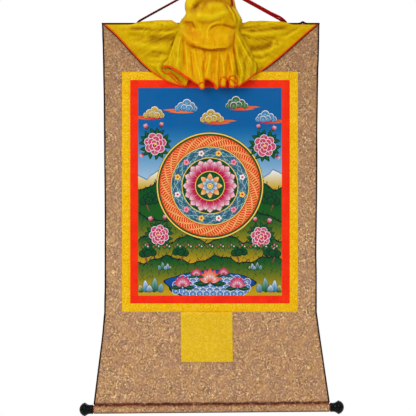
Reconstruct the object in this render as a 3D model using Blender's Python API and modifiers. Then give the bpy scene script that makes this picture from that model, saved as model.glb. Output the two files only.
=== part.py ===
"""A thangka: a painted picture in silk borders, pieced into a brocade ground and hung from a cord.

Metres, +Z up. The picture faces -Y and +X is to its right. The origin is the point under the
cord's bend where a nail holds it.
"""

import math

import bmesh
import bpy
from mathutils import Matrix, Vector

MM = 0.001
GAP = 0.3 * MM

# The scroll as a whole.
HANG_RISE = 83 * MM
TOP_WIDTH = 443 * MM
WAIST_WIDTH = 434 * MM
FOOT_WIDTH = 485 * MM
FOOT_SHIFT = 2.0 * MM
FOOT_TILT = math.radians(0.5)
SCROLL_HEIGHT = 800 * MM
CLOTH = 1.4 * MM

# The picture and its borders, and where they lie in the ground.
PICTURE_WIDTH = 294 * MM
PICTURE_HEIGHT = 425 * MM
RED_STRIP = 16.5 * MM
YELLOW_STRIP = 17.0 * MM
HEAD_HEIGHT = 100.5 * MM
PICTURE_SHIFT = -1.5 * MM
DOOR_WIDTH = 106 * MM
DOOR_HEIGHT = 103 * MM
DOOR_SHIFT = -8.5 * MM
DOOR_CLOTH = 1.0 * MM

# The rods, the tape and the cord.
ROD_RADIUS = 4.0 * MM
ROLLER_RADIUS = 7.5 * MM
KNOB_LENGTH = 28.5 * MM
TAPE = 1.0 * MM
TAPE_FACE = 3.0 * MM
CORD_DIAMETER = 4.2 * MM
CORD_SPREAD = 151 * MM

# The veil.
VEIL_CLOTH = 1.2 * MM
VEIL_CLEARANCE = 2.6 * MM
VEIL_SEAM_DEPTH = 1.3 * MM

TOP_Z = -HANG_RISE
FOOT_Z = TOP_Z - SCROLL_HEIGHT
HEM_INSET = TAPE_FACE + GAP
SEAM_DIP = 0.5 * MM
SLEEVE_RADIUS = ROD_RADIUS + GAP + CLOTH / 2
ROD_Z = TOP_Z - TAPE - GAP - CLOTH / 2 - SLEEVE_RADIUS
CLOTH_Y = -SLEEVE_RADIUS
FRONT_Y = CLOTH_Y - CLOTH / 2
ROLL_RADIUS = ROLLER_RADIUS + GAP + CLOTH / 2
ROLL_Y = CLOTH_Y + 1.0 * MM
ROLL_Z = FOOT_Z + ROLL_RADIUS + CLOTH / 2
SEAM_Z = ROLL_Z + ROLL_RADIUS + 1.6 * MM
BORDER_TOP_Z = TOP_Z - HEAD_HEIGHT
BORDER_WIDTH = PICTURE_WIDTH + 2 * (RED_STRIP + YELLOW_STRIP)
BORDER_HEIGHT = PICTURE_HEIGHT + 2 * (RED_STRIP + YELLOW_STRIP)
BORDER_FOOT_Z = BORDER_TOP_Z - BORDER_HEIGHT
FOOT_ROWS = 9


def clear_scene():
    for thing in list(bpy.data.objects):
        bpy.data.objects.remove(thing)


def collection(name):
    made = bpy.data.collections.new(name)
    bpy.context.scene.collection.children.link(made)
    return made


def material(name, colour, roughness, metallic=0.0):
    made = bpy.data.materials.new(name)
    made.use_nodes = True
    shader = made.node_tree.nodes["Principled BSDF"]
    shader.inputs["Base Color"].default_value = (*colour, 1.0)
    shader.inputs["Roughness"].default_value = roughness
    shader.inputs["Metallic"].default_value = metallic
    return made


def blend(a, b, share):
    return a + (b - a) * share


def ease(value):
    value = min(max(value, 0.0), 1.0)
    return value * value * (3.0 - 2.0 * value)


def bump(value, at, width):
    return math.exp(-(((value - at) / width) ** 2))


def spaced(first, last, steps):
    return [blend(first, last, i / steps) for i in range(steps + 1)]


def read_table(rows, at, column):
    """The value of a column where the first column equals `at`, on a smooth curve through the rows."""
    at = min(max(at, rows[0][0]), rows[-1][0])
    i = max(k for k in range(len(rows) - 1) if rows[k][0] <= at)
    span = rows[i + 1][0] - rows[i][0]
    here, there = rows[i][column], rows[i + 1][column]

    def slope(k):
        before, after = max(k - 1, 0), min(k + 1, len(rows) - 1)
        rise = rows[after][column] - rows[before][column]
        return rise / (rows[after][0] - rows[before][0])

    f = (at - rows[i][0]) / span
    start, end = slope(i) * span, slope(i + 1) * span
    return (
        here * (1 + 2 * f) * (1 - f) ** 2
        + start * f * (1 - f) ** 2
        + there * f * f * (3 - 2 * f)
        + end * f * f * (f - 1)
    )


def smooth_route(points, step):
    """Points every `step` along a Catmull-Rom curve through `points`."""
    points = [Vector(p) for p in points]
    ends = [2 * points[0] - points[1], *points, 2 * points[-1] - points[-2]]
    fine = []
    for a, b, c, d in zip(ends, ends[1:], ends[2:], ends[3:]):
        for f in spaced(0.0, 1.0, 24)[:-1]:
            fine.append(
                0.5 * (2 * b + (c - a) * f + (2 * a - 5 * b + 4 * c - d) * f**2)
                + 0.5 * (3 * b - a - 3 * c + d) * f**3
            )
    fine.append(points[-1])
    lengths = [0.0]
    for a, b in zip(fine, fine[1:]):
        lengths.append(lengths[-1] + (b - a).length)
    count = max(2, round(lengths[-1] / step))
    route = []
    k = 0
    for wanted in spaced(0.0, lengths[-1], count):
        while k < len(fine) - 2 and lengths[k + 1] < wanted:
            k += 1
        part = (wanted - lengths[k]) / max(lengths[k + 1] - lengths[k], 1e-9)
        route.append(fine[k].lerp(fine[k + 1], part))
    return route


def place(name, mesh, finish, group):
    made = bpy.data.objects.new(name, mesh)
    mesh.materials.append(finish)
    group.objects.link(made)
    return made


def cloth(name, rows, thickness, finish, group, sharp=40, even=True):
    """A sheet through a grid of points, thickened to both sides alike."""
    mesh = bpy.data.meshes.new(name)
    sheet = bmesh.new()
    grid = [[sheet.verts.new(point) for point in row] for row in rows]
    for upper, lower in zip(grid, grid[1:]):
        for a, b, c, d in zip(upper, upper[1:], lower[1:], lower):
            sheet.faces.new((a, d, c, b))
    sheet.to_mesh(mesh)
    sheet.free()
    mesh.shade_smooth()
    made = place(name, mesh, finish, group)
    shell = made.modifiers.new("thickness", "SOLIDIFY")
    shell.thickness = thickness
    shell.offset = 0.0
    shell.use_even_offset = even
    mesh.set_sharp_from_angle(angle=math.radians(sharp))
    return made


# ---- the pieced ground ----------------------------------------------------------------------


def half_width(z):
    """Half the scroll's width: a little narrower at the waist, flaring to the foot."""
    if z > BORDER_FOOT_Z:
        share = (TOP_Z - z) / (TOP_Z - BORDER_FOOT_Z)
        return blend(TOP_WIDTH, WAIST_WIDTH, share) / 2
    share = (BORDER_FOOT_Z - z) / (BORDER_FOOT_Z - SEAM_Z)
    return blend(WAIST_WIDTH, FOOT_WIDTH, min(share, 1.0)) / 2


def billow(x, z):
    """How far the hanging cloth stands forward: flat behind the picture, in soft waves below it."""
    fall = (BORDER_FOOT_Z - z) / (BORDER_FOOT_Z - SEAM_Z)
    if not 0.0 < fall < 1.0:
        return 0.0
    across = x / (FOOT_WIDTH / 2)
    swell = math.cos(5.2 * across + 0.6) + 0.5 * math.cos(11.0 * across - 1.0)
    return -2.2 * MM * math.sin(math.pi * fall) ** 2 * swell


def askew(point):
    """Where a point of the lower panel hangs: the roller lies a little to the right and not quite level."""
    share = min(max((BORDER_FOOT_Z - point.z) / (BORDER_FOOT_Z - SEAM_Z), 0.0), 1.0)
    x = point.x + FOOT_SHIFT * share
    return Vector((x, point.y, point.z + math.tan(FOOT_TILT) * x * share))


def foot_heights():
    """The heights at which the lower panel and its tape follow the waves."""
    return spaced(BORDER_FOOT_Z - GAP, SEAM_Z + 3 * MM, FOOT_ROWS)


def cloth_edge(z):
    """Where the brocade is cut, inside the tape."""
    return half_width(z) - TAPE - GAP


def panel(name, left, right, top, foot, finish, group, y=CLOTH_Y, thickness=CLOTH):
    """A flat piece between two heights; left and right are numbers or functions of the height."""
    heights = spaced(top, foot, 1)
    rows = []
    for z in heights:
        ends = [side(z) if callable(side) else side for side in (left, right)]
        rows.append([Vector((x, y, z)) for x in ends])
    return cloth(name, rows, thickness, finish, group)


def make_picture(group):
    finish = material("painted_canvas", (0.16, 0.30, 0.36), 0.75)
    half_w, half_h = PICTURE_WIDTH / 2, PICTURE_HEIGHT / 2
    top = BORDER_TOP_Z - YELLOW_STRIP - RED_STRIP
    left, right = PICTURE_SHIFT - half_w, PICTURE_SHIFT + half_w
    panel("painting", left, right, top, top - 2 * half_h, finish, group)


def make_border(colour_name, inner_width, inner_height, strip, finish, group):
    """Four strips round the inner size: the side strips run the whole height."""
    middle_z = (BORDER_TOP_Z + BORDER_FOOT_Z) / 2
    inner_x, inner_z = inner_width / 2, inner_height / 2
    outer_x, outer_z = inner_x + strip, inner_z + strip
    for side, name in ((-1, "left"), (1, "right")):
        ends = sorted((side * (inner_x + GAP), side * outer_x))
        left, right = (PICTURE_SHIFT + end for end in ends)
        top, foot = middle_z + outer_z, middle_z - outer_z
        panel(f"{colour_name}_{name}", left, right, top, foot, finish, group)
    left, right = PICTURE_SHIFT - inner_x, PICTURE_SHIFT + inner_x
    near, far = inner_z + GAP, outer_z
    panel(f"{colour_name}_top", left, right, middle_z + far, middle_z + near, finish, group)
    panel(f"{colour_name}_bottom", left, right, middle_z - near, middle_z - far, finish, group)


def make_borders(group):
    red = material("red_brocade", (0.80, 0.02, 0.005), 0.6)
    yellow = material("yellow_brocade", (0.80, 0.47, 0.02), 0.55)
    make_border("red", PICTURE_WIDTH, PICTURE_HEIGHT, RED_STRIP, red, group)
    red_width = PICTURE_WIDTH + 2 * RED_STRIP
    red_height = PICTURE_HEIGHT + 2 * RED_STRIP
    make_border("yellow", red_width, red_height, YELLOW_STRIP, yellow, group)
    return yellow


def arc(first, last, step, radius, y, z):
    """Points (y, z) round a bar that lies along X, at angles in degrees from +Y towards +Z."""
    points = []
    for degrees in range(first, last + 1, step):
        angle = math.radians(degrees)
        points.append((y + radius * math.cos(angle), z + radius * math.sin(angle)))
    return points


def top_sleeve_path():
    """From the hem's end behind the head panel, over the rod and down its front: (y, z)."""
    hem_y = CLOTH_Y + CLOTH + GAP
    hem = [(hem_y, ROD_Z - 24 * MM), (hem_y, ROD_Z - 13 * MM)]
    return hem, arc(-75, 180, 15, SLEEVE_RADIUS, 0.0, ROD_Z)


def foot_sleeve_path():
    """From the seam round the front, under and up the back of the roller: (y, z)."""
    front = [(CLOTH_Y + SEAM_DIP, SEAM_Z), (CLOTH_Y - 1.6 * MM, SEAM_Z - 1.9 * MM)]
    around = arc(135, 420, 15, ROLL_RADIUS, ROLL_Y, ROLL_Z)
    hem_y = CLOTH_Y + SEAM_DIP + CLOTH + GAP
    turn = (hem_y + 0.8 * MM, SEAM_Z - 0.4 * MM)
    hem = [(hem_y, SEAM_Z + 3 * MM), (hem_y, SEAM_Z + 14 * MM)]
    return [*front, *around, turn], hem


def make_ground(group):
    finish = material("beige_brocade", (0.46, 0.27, 0.14), 0.7)
    columns = 12

    hem, sleeve = top_sleeve_path()
    rows = []
    for y, z in [(CLOTH_Y, BORDER_TOP_Z + GAP), *reversed(hem + sleeve)]:
        edge = cloth_edge(z) - GAP - (HEM_INSET if (y, z) in hem else 0.0)
        rows.append([Vector((x, y, z)) for x in (-edge, edge)])
    rows.reverse()
    cloth("brocade_top", rows, CLOTH, finish, group)

    top, foot = BORDER_TOP_Z, BORDER_FOOT_Z
    inner_left = PICTURE_SHIFT - BORDER_WIDTH / 2 - GAP
    inner_right = PICTURE_SHIFT + BORDER_WIDTH / 2 + GAP
    panel("brocade_left", lambda z: -cloth_edge(z), inner_left, top, foot, finish, group)
    panel("brocade_right", inner_right, cloth_edge, top, foot, finish, group)

    drop = [(CLOTH_Y, z) for z in foot_heights()]
    sleeve, hem = foot_sleeve_path()
    rows = []
    for y, z in drop + sleeve + hem:
        edge = cloth_edge(max(z, SEAM_Z)) - (HEM_INSET if (y, z) in hem else 0.0)
        row = []
        for x in spaced(-edge, edge, columns):
            row.append(askew(Vector((x, y + billow(x, z), z))))
        rows.append(row)
    cloth("brocade_bottom", rows, CLOTH, finish, group)


def make_door(yellow, group):
    y = FRONT_Y - GAP - DOOR_CLOTH / 2
    rows = []
    for z in spaced(BORDER_FOOT_Z - 2 * GAP, BORDER_FOOT_Z - DOOR_HEIGHT, 4):
        row = []
        for x in spaced(DOOR_SHIFT - DOOR_WIDTH / 2, DOOR_SHIFT + DOOR_WIDTH / 2, 4):
            row.append(askew(Vector((x, y + billow(x, z) - 0.4 * MM, z))))
        rows.append(row)
    cloth("door_patch", rows, DOOR_CLOTH, yellow, group)


def make_tape(group):
    """Dark tape folded over the side edges and over the top of the rod's sleeve."""
    finish = material("dark_tape", (0.025, 0.008, 0.008), 0.65)
    reach = CLOTH / 2 + GAP + TAPE / 2
    sleeve_back = 2 * SLEEVE_RADIUS
    sleeve_end = ROD_Z - 16 * MM
    heights = [ROD_Z + SLEEVE_RADIUS * 0.5, ROD_Z, ROD_Z - 8 * MM, sleeve_end]
    heights += spaced(sleeve_end - 8 * MM, BORDER_FOOT_Z - GAP, 2)
    heights += foot_heights()[1:]
    for side, name in ((-1, "left"), (1, "right")):
        rows = []
        for z in heights:
            outer = side * (half_width(z) - TAPE / 2)
            inner = side * (half_width(z) - TAPE_FACE)
            wave = billow(side * cloth_edge(z), z)
            back = reach
            if z > sleeve_end - 8 * MM:
                closing = ease((z - sleeve_end) / (8 * MM))
                back = reach + blend(CLOTH + GAP, sleeve_back, closing)
            front_y, back_y = CLOTH_Y - reach + wave, CLOTH_Y + back + wave
            rows.append([
                askew(Vector((x, y, z)))
                for x, y in ((inner, front_y), (outer, front_y), (outer, back_y), (inner, back_y))
            ])
        if side > 0:
            rows = [list(reversed(row)) for row in rows]
        cloth(f"binding_{name}", rows, TAPE, finish, group)

    radius = SLEEVE_RADIUS + CLOTH / 2 + GAP + TAPE / 2
    rows = []
    for degrees in range(30, 151, 15):
        angle = math.radians(degrees)
        y, z = radius * math.cos(angle), ROD_Z + radius * math.sin(angle)
        rows.append([Vector((x, y, z)) for x in (-TOP_WIDTH / 2, TOP_WIDTH / 2)])
    cloth("binding_top", rows, TAPE, finish, group)


# ---- the rods and knobs -----------------------------------------------------------------------


def turned_bar(name, radius, length, middle, tilt, finish, group):
    bpy.ops.mesh.primitive_cylinder_add(
        vertices=24, radius=radius, depth=length, location=middle, rotation=(0, math.pi / 2 - tilt, 0)
    )
    made = bpy.context.object
    made.name = name
    made.data.name = name
    made.data.materials.append(finish)
    made.data.shade_smooth()
    made.data.set_sharp_from_angle(angle=math.radians(40))
    for held in list(made.users_collection):
        held.objects.unlink(made)
    group.objects.link(made)


KNOB_PROFILE = (
    # along the knob in mm, radius in mm
    (0.0, 9.2),
    (0.4, 9.6),
    (7.0, 9.3),
    (11.0, 10.2),
    (14.5, 12.4),
    (17.0, 14.0),
    (18.2, 13.9),
    (21.5, 12.4),
    (25.0, 9.2),
    (27.3, 6.0),
)


def make_knob(name, side, finish, group):
    """A turned finial: neck, flared rim and a domed end."""
    mesh = bpy.data.meshes.new(name)
    profile = bmesh.new()
    corners = [profile.verts.new((0, 0, 0))]
    for along, radius in KNOB_PROFILE:
        corners.append(profile.verts.new((radius * MM, 0, along * MM)))
    corners.append(profile.verts.new((0, 0, KNOB_LENGTH)))
    for a, b in zip(reversed(corners), reversed(corners[:-1])):
        profile.edges.new((a, b))
    profile.to_mesh(mesh)
    profile.free()
    made = place(name, mesh, finish, group)
    turn = made.modifiers.new("turned", "SCREW")
    turn.axis = "Z"
    turn.steps = 24
    turn.render_steps = 24
    turn.use_merge_vertices = True
    turn.merge_threshold = 0.00001
    turn.use_smooth_shade = True
    made.rotation_euler = (0, side * math.pi / 2 - FOOT_TILT, 0)
    made.location = askew(Vector((side * (FOOT_WIDTH / 2 + GAP), ROLL_Y, ROLL_Z)))


def make_rods(group):
    wood = material("plain_wood", (0.30, 0.16, 0.07), 0.6)
    lacquer = material("black_lacquer", (0.008, 0.008, 0.008), 0.2)
    rod_length = TOP_WIDTH - 2 * (TAPE + 2 * GAP)
    turned_bar("top_rod", ROD_RADIUS, rod_length, (0, 0, ROD_Z), 0.0, wood, group)
    roller_middle = askew(Vector((0, ROLL_Y, ROLL_Z)))
    turned_bar("bottom_roller", ROLLER_RADIUS, FOOT_WIDTH, roller_middle, FOOT_TILT, wood, group)
    make_knob("knob_left", -1, lacquer, group)
    make_knob("knob_right", 1, lacquer, group)


# ---- the cord ---------------------------------------------------------------------------------

CORD_RADIUS = CORD_DIAMETER / 2
WRAP_RADIUS = SLEEVE_RADIUS + CLOTH / 2 + GAP + TAPE + CORD_RADIUS + 1.0 * MM
KNOT_RADIUS = 4.0 * MM
KNOT_WIDTH = 10.4 * MM
KNOT_Y = 3.4 * MM
KNOT_Z = ROD_Z - 11.6 * MM


STRAND_APART = CORD_DIAMETER + 0.7 * MM
STRAND_TURN = 52.0
SPREAD_ON_ROD = 1.3
ROD_LEAN = 60.0
SPARE_TAIL = (
    # x, y, z in mm: over the nail, then down before the veil
    (4, -4.6, 3.6),
    (-2, -6.4, 4.6),
    (-4, -11, 3.2),
    (3, -16, -1.5),
    (15, -21, -8),
    (29, -26, -17.5),
    (38.5, -28, -30),
    (42.5, -29.5, -41),
    (44, -31, -52.3),
)
SPAN_STATIONS = (
    # inward from the rod's tie in mm, behind (+) the plane of the nail in mm
    (3.5, 4.4),
    (12, 1.0),
    (30, 0.2),
    (50, 0.0),
    (100, 0.0),
    (138, 0.0),
)
SPAN_ANGLE = math.atan2(HANG_RISE, CORD_SPREAD)


def hanging_span(side, second=False):
    """From behind the rod to the nail. A second strand starts beside the first and turns before it."""
    apart = STRAND_APART if second else 0.0
    out = CORD_SPREAD + SPREAD_ON_ROD * apart
    route = [(side * out, KNOT_Y + 2.2 * MM, KNOT_Z + KNOT_RADIUS + 0.6 * MM)]
    for y, z in arc(-15, 45, 20, WRAP_RADIUS, 0.0, ROD_Z):
        route.append((side * out, y, z))
    for inward, y in SPAN_STATIONS:
        turn = math.radians(STRAND_TURN) * ease((inward - 12) / 38)
        beside, nearer = apart * math.cos(turn), apart * math.sin(turn)
        lean = blend(math.radians(ROD_LEAN), SPAN_ANGLE, ease((inward - 3.5) / 14))
        x = CORD_SPREAD - inward * MM + beside * math.sin(lean)
        rise = inward * MM * math.tan(SPAN_ANGLE) + beside * math.cos(lean)
        route.append((side * x, y * MM - nearer, TOP_Z + CORD_RADIUS + rise))
    return route


def cord(name, route, finish, group):
    curve = bpy.data.curves.new(name, "CURVE")
    curve.dimensions = "3D"
    curve.bevel_depth = CORD_RADIUS
    curve.bevel_resolution = 2
    curve.use_fill_caps = True
    points = smooth_route(route, 2.2 * CORD_DIAMETER)
    spline = curve.splines.new("POLY")
    spline.points.add(len(points) - 1)
    for slot, point in zip(spline.points, points):
        slot.co = (*point, 1.0)
    made = bpy.data.objects.new(name, curve)
    curve.materials.append(finish)
    group.objects.link(made)


def make_cord(group):
    """A cord over the nail, and its spare end, which runs back beside it and hangs before the veil."""
    finish = material("red_cord", (0.35, 0.01, 0.01), 0.7)
    bend = [(0.0, 0.0, CORD_RADIUS)]
    cord("hanging_cord", hanging_span(-1) + bend + hanging_span(1)[::-1], finish, group)
    tail = [tuple(value * MM for value in point) for point in SPARE_TAIL]
    cord("spare_cord", hanging_span(1, second=True) + tail, finish, group)

    for side, name in ((-1, "left"), (1, "right")):
        middle = side * (CORD_SPREAD + max(side, 0) * SPREAD_ON_ROD * STRAND_APART / 2)
        bpy.ops.mesh.primitive_uv_sphere_add(
            segments=16, ring_count=10, radius=KNOT_RADIUS, location=(middle, KNOT_Y, KNOT_Z)
        )
        knot = bpy.context.object
        knot.name = f"cord_knot_{name}"
        knot.data.name = knot.name
        knot.data.transform(Matrix.Diagonal((KNOT_WIDTH / 2 / KNOT_RADIUS, 1.0, 1.0, 1.0)))
        knot.data.materials.append(finish)
        knot.data.shade_smooth()
        for held in list(knot.users_collection):
            held.objects.unlink(knot)
        group.objects.link(knot)


# ---- the veil ---------------------------------------------------------------------------------

FALL_SECTIONS = (
    # below the top edge, left side, right side, depth in the middle, depth at the sides, share of the width
    (-71, -17, 22, 11, 7.5, 0.10),
    (-63, -31, 35, 15, 8, 0.17),
    (-46, -49, 47, 22, 9, 0.25),
    (-30, -52, 51, 30, 10, 0.28),
    (-16, -50, 58, 32, 10, 0.30),
    (-2, -61, 64, 27, 9, 0.32),
    (15, -66, 57, 21, 9, 0.36),
    (35, -72, 68, 21, 8, 0.48),
    (56, -80, 80, 20, 7.5, 0.62),
    (76, -88, 88, 20, 7.5, 0.78),
    (86, -97, 93, 21, 7.5, 0.85),
    (100, -99, 94, 23, 8, 0.86),
    (140, -92, 88, 25, 9, 0.87),
)
BELOW, LEFT, RIGHT, MIDDLE_DEPTH, SIDE_DEPTH, SHARE = range(6)

FALL_HEM = (
    # across the veil (-1 to 1), below the top edge
    (-0.85, 101),
    (-0.70, 109),
    (-0.55, 121),
    (-0.46, 129),
    (-0.38, 118),
    (-0.28, 125),
    (-0.14, 136),
    (-0.07, 119),
    (0.02, 127),
    (0.13, 137),
    (0.19, 123),
    (0.255, 133),
    (0.34, 118),
    (0.446, 132),
    (0.51, 121),
    (0.574, 132),
    (0.73, 119),
    (0.85, 100),
)

FALL_PLEATS = (
    # across the veil (-1 to 1), strength
    (-0.66, 0.9),
    (-0.425, 1.0),
    (-0.20, 0.8),
    (-0.06, 0.6),
    (0.12, 0.7),
    (0.27, 1.0),
    (0.45, 0.9),
    (0.68, 1.0),
)
PLEAT_WIDTH = 0.058
PLEAT_START = 40.0
PLEAT_RUN = 80.0
PLEAT_DEPTH = 9.5

WING_FOLDS = (
    # angle below the rod as seen from the gather, height of the ridge, its width in degrees
    (3, 5.5, 4.0),
    (24, 5.0, 6.0),
    (41, 3.5, 5.0),
    (58, 2.5, 5.0),
)

POUCH_LIP = (
    # across the veil (-1 to 1), below the top edge
    (-0.42, 38),
    (-0.34, 44),
    (-0.19, 52),
    (-0.02, 57),
    (0.10, 55),
    (0.38, 52),
)
POUCH_TURN = 13.0
POUCH_FORWARD = 15.0
PUFF_REACH = 0.22
PUFF_TOP = -36.0
PUFF_TURN = 11.0
PUFF_FORWARD = 8.0

# How far across the veil the fall's hem reaches; the last of the cloth is tucked behind it.
LAST_SHARE = 0.85
HIDDEN_CORNERS = {-1: Vector((-51.0, 130.0)), 1: Vector((72.0, 116.0))}
GATHERS = {-1: Vector((-64.0, 14.0)), 1: Vector((55.0, 14.0))}
HEM_BOWS = {-1: 18.0, 1: 6.0}
WING_HUMPS = {-1: 13.0, 1: 9.0}
HUMP_MIDDLE = 0.53
HUMP_WIDTH = 0.21
UNDERLAP = 8.0
SEAM_INSET = 4.5
SEAM_BELOW = 4.0


def fall_start(share):
    """How far below the top edge the fall begins, for a place this far across the veil."""
    rows = FALL_SECTIONS
    share = max(share, rows[0][SHARE])
    for upper, lower in zip(rows, rows[1:]):
        if share <= lower[SHARE]:
            part = (share - upper[SHARE]) / (lower[SHARE] - upper[SHARE])
            return blend(upper[BELOW], lower[BELOW], part)
    return rows[-1][BELOW]


def fall_share(below):
    """The share of the veil's width that has joined the fall at this height."""
    rows = FALL_SECTIONS
    below = min(max(below, rows[0][BELOW]), rows[-1][BELOW])
    for upper, lower in zip(rows, rows[1:]):
        if below <= lower[BELOW]:
            part = (below - upper[BELOW]) / (lower[BELOW] - upper[BELOW])
            return blend(upper[SHARE], lower[SHARE], part)
    return rows[-1][SHARE]


def fall_point(across, below, shown=None):
    """(x, below, depth) in mm. `below` places it across, `shown` is its height if that differs."""
    left, right = (read_table(FALL_SECTIONS, below, side) for side in (LEFT, RIGHT))
    middle = read_table(FALL_SECTIONS, below, MIDDLE_DEPTH)
    side = read_table(FALL_SECTIONS, below, SIDE_DEPTH)
    place_across = min(max(across / fall_share(below), -1.0), 1.0)
    crown = math.sqrt(max(1.0 - place_across**2, 0.0))
    depth = blend(side, middle, crown)
    loose = ease((below - PLEAT_START) / PLEAT_RUN)
    pleat = sum(strength * bump(across, at, PLEAT_WIDTH) for at, strength in FALL_PLEATS)
    depth += (pleat - 0.45) * (1.0 + PLEAT_DEPTH * loose) * min(1.0, 3.0 * crown)
    x = (left + right) / 2 + place_across * (right - left) / 2
    return Vector((x, below if shown is None else shown, depth))


def fall_edge(across):
    return fall_point(across, fall_start(abs(across)))


def fall_outward(across):
    """The direction out of the fall's outline at its edge, seen from the front."""
    a = fall_edge(across - 0.01)
    b = fall_edge(across + 0.01)
    along = Vector((b.x - a.x, -(b.y - a.y)))
    if along.length < 1e-6:
        return Vector((0.0, 1.0))
    along.normalize()
    return Vector((-along.y, along.x))


def pouch_fold(across):
    """The height at which the pouch's cloth turns, and how fully it turns here (0 to 1)."""
    ends = POUCH_LIP[0][0], POUCH_LIP[-1][0]
    inside = min(across - ends[0], ends[1] - across)
    return read_table(POUCH_LIP, across, 1) - POUCH_TURN, ease(inside / 0.14)


def fall_stations(across, steps):
    """Heights down the fall, closest together where the cloth doubles over."""
    start = fall_start(abs(across))
    hem = read_table(FALL_HEM, across, 1)
    fold = pouch_fold(across)[0]
    knee = max(fold - 14, blend(start, hem, 0.4))
    ankle = max(fold + 24, blend(start, hem, 0.75))
    last_above, last_folded = round(0.46 * steps), round(0.78 * steps)
    above = spaced(start, knee, last_above)
    folded = spaced(knee, ankle, last_folded - last_above)
    return above + folded[1:] + spaced(ankle, hem, steps - last_folded)[1:]


def turn_over(below, at, reach):
    """How far cloth at this height is carried down: it runs past a fold at `at` and comes back up."""
    half = reach / 2
    return reach * (bump(below, at, half) - bump(below, at + reach, half))


def fall_column(across, steps):
    """The front of the veil, fold to hem. A puff turns over high up, and a pouch hangs below it."""
    fold, pouch = pouch_fold(across)
    puff = ease((PUFF_REACH - abs(across)) / 0.10)
    puff_fold = PUFF_TOP + 330 * across**2 - PUFF_TURN / 2
    points = []
    for below in fall_stations(across, steps):
        carried = turn_over(below, fold, POUCH_TURN) * pouch
        carried += turn_over(below, puff_fold, PUFF_TURN) * puff
        point = fall_point(across, below, below + carried)
        swell = bump(below, fold - 3, POUCH_TURN) - 0.45 * bump(below, fold + 15, 7)
        point.z += POUCH_FORWARD * swell * pouch
        point.z -= PUFF_FORWARD * bump(below, puff_fold - 2, 9) * puff
        points.append(point)
    return points


def under_edge(across):
    """Where the back layer ends, tucked under the edge of the fall."""
    share = abs(across)
    edge = fall_edge(math.copysign(min(share, LAST_SHARE), across))
    outward = fall_outward(math.copysign(min(share, LAST_SHARE - 0.02), across))
    tucked = edge.xy + UNDERLAP * Vector((-outward.x, outward.y))
    if share > LAST_SHARE:
        corner = HIDDEN_CORNERS[1 if across > 0 else -1]
        tucked = tucked.lerp(corner, (share - LAST_SHARE) / (1 - LAST_SHARE))
    return tucked


def wing_relief(x, below, side):
    """Folds that fan out from the gather, in mm."""
    gather = GATHERS[side]
    run = Vector((abs(x - gather.x), below - gather.y))
    if run.length < 1:
        return 0.0
    angle = math.degrees(math.atan2(run.y, run.x))
    fade = ease(run.length / 45) * ease((150 - run.length) / 110)
    folds = sum(high * bump(angle, at, wide) for at, high, wide in WING_FOLDS)
    return folds * fade


def back_column(across, steps):
    """From the seam on the rod to the tuck: out along the wing, or up behind the bunch."""
    share = abs(across)
    side = -1 if across < 0 else 1
    seam = Vector((across * (TOP_WIDTH / MM / 2 - SEAM_INSET), SEAM_BELOW))
    tuck = under_edge(across)
    winged = ease((share - 0.30) / 0.10)
    bow = HEM_BOWS[side] * ease((share - 0.55) / 0.45)
    hump = WING_HUMPS[side] * bump(share, HUMP_MIDDLE, HUMP_WIDTH) * winged
    chord = tuck - seam
    square = Vector((-chord.y, chord.x)).normalized() * -side
    points = []
    for i in range(steps + 1):
        v = i / steps
        flat = seam + chord * v + square * bow * 6.75 * v * v * (1 - v)
        flat.y -= hump * math.sin(math.pi * min(1.0, 2.6 * v))
        relief = wing_relief(flat.x, flat.y, side) * winged * ease(3 * v) * ease((1 - v) * 4)
        depth = blend(VEIL_SEAM_DEPTH, VEIL_CLEARANCE, ease(5 * v)) / MM
        points.append(Vector((flat.x, flat.y, depth + relief + 0.4 * v)))
    return points


def veil_column(across, wing_steps=8, fall_steps=28):
    """All the points of one place across the veil, from the rod to the free hem, in mm."""
    share = abs(across)
    back = back_column(across, wing_steps)
    shown = math.copysign(min(share, LAST_SHARE), across)
    front = fall_column(shown, fall_steps)
    outward = fall_outward(math.copysign(min(share, LAST_SHARE - 0.02), across))
    out = Vector((outward.x, -outward.y, 0.0))
    first = front[0]
    tuck = back[-1]
    turned = min(1.0, max(0.0, (share - 0.30) / 0.08))
    inner = Vector((tuck.x, tuck.y, tuck.z + 1.6)) - out * 1.2 * turned
    behind = first - out * 1.0
    behind.z = blend(tuck.z + 1.5, tuck.z + 3.4, turned)
    outer = first + out * 0.8
    outer.z = (behind.z + first.z) / 2
    column = [*back, inner, behind, outer, *front]
    if share > LAST_SHARE:
        hidden = ease((share - LAST_SHARE) / (1 - LAST_SHARE))
        rest = column[len(back):]
        up = Vector((5.0 if across < 0 else -5.0, -11.0, 0.0))
        for k, point in enumerate(rest):
            f = k / (len(rest) - 1)
            end = tuck + up * f
            end.z = tuck.z + 4.0 * ease(2.5 * f)
            column[len(back) + k] = point.lerp(end, hidden)
    return column


def make_veil(group):
    finish = material("yellow_silk", (0.66, 0.42, 0.01), 0.45)
    places = [-1.0, -0.95, -0.90] + spaced(-LAST_SHARE, LAST_SHARE, 38) + [0.90, 0.95, 1.0]
    columns = [veil_column(across) for across in places]
    rows = []
    for k in range(len(columns[0])):
        row = []
        for column in columns:
            x, below, depth = column[k]
            row.append(Vector((x * MM, FRONT_Y - depth * MM, TOP_Z - below * MM)))
        rows.append(row)
    cloth("veil", rows, VEIL_CLOTH, finish, group, sharp=180, even=False)


clear_scene()
scroll = collection("thangka_scroll")
make_picture(scroll)
yellow_cloth = make_borders(scroll)
make_ground(scroll)
make_door(yellow_cloth, scroll)
make_tape(scroll)
make_rods(scroll)
make_cord(scroll)
make_veil(scroll)
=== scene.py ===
"""A thangka hung on its cord: the looks of each cloth, cord and rod. Metres, +Z up, seen from -Y."""

import math

import bmesh
import bpy
import numpy as np
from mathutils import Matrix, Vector, noise
from mathutils.bvhtree import BVHTree
from mathutils.geometry import delaunay_2d_cdt
from mathutils.kdtree import KDTree


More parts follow.
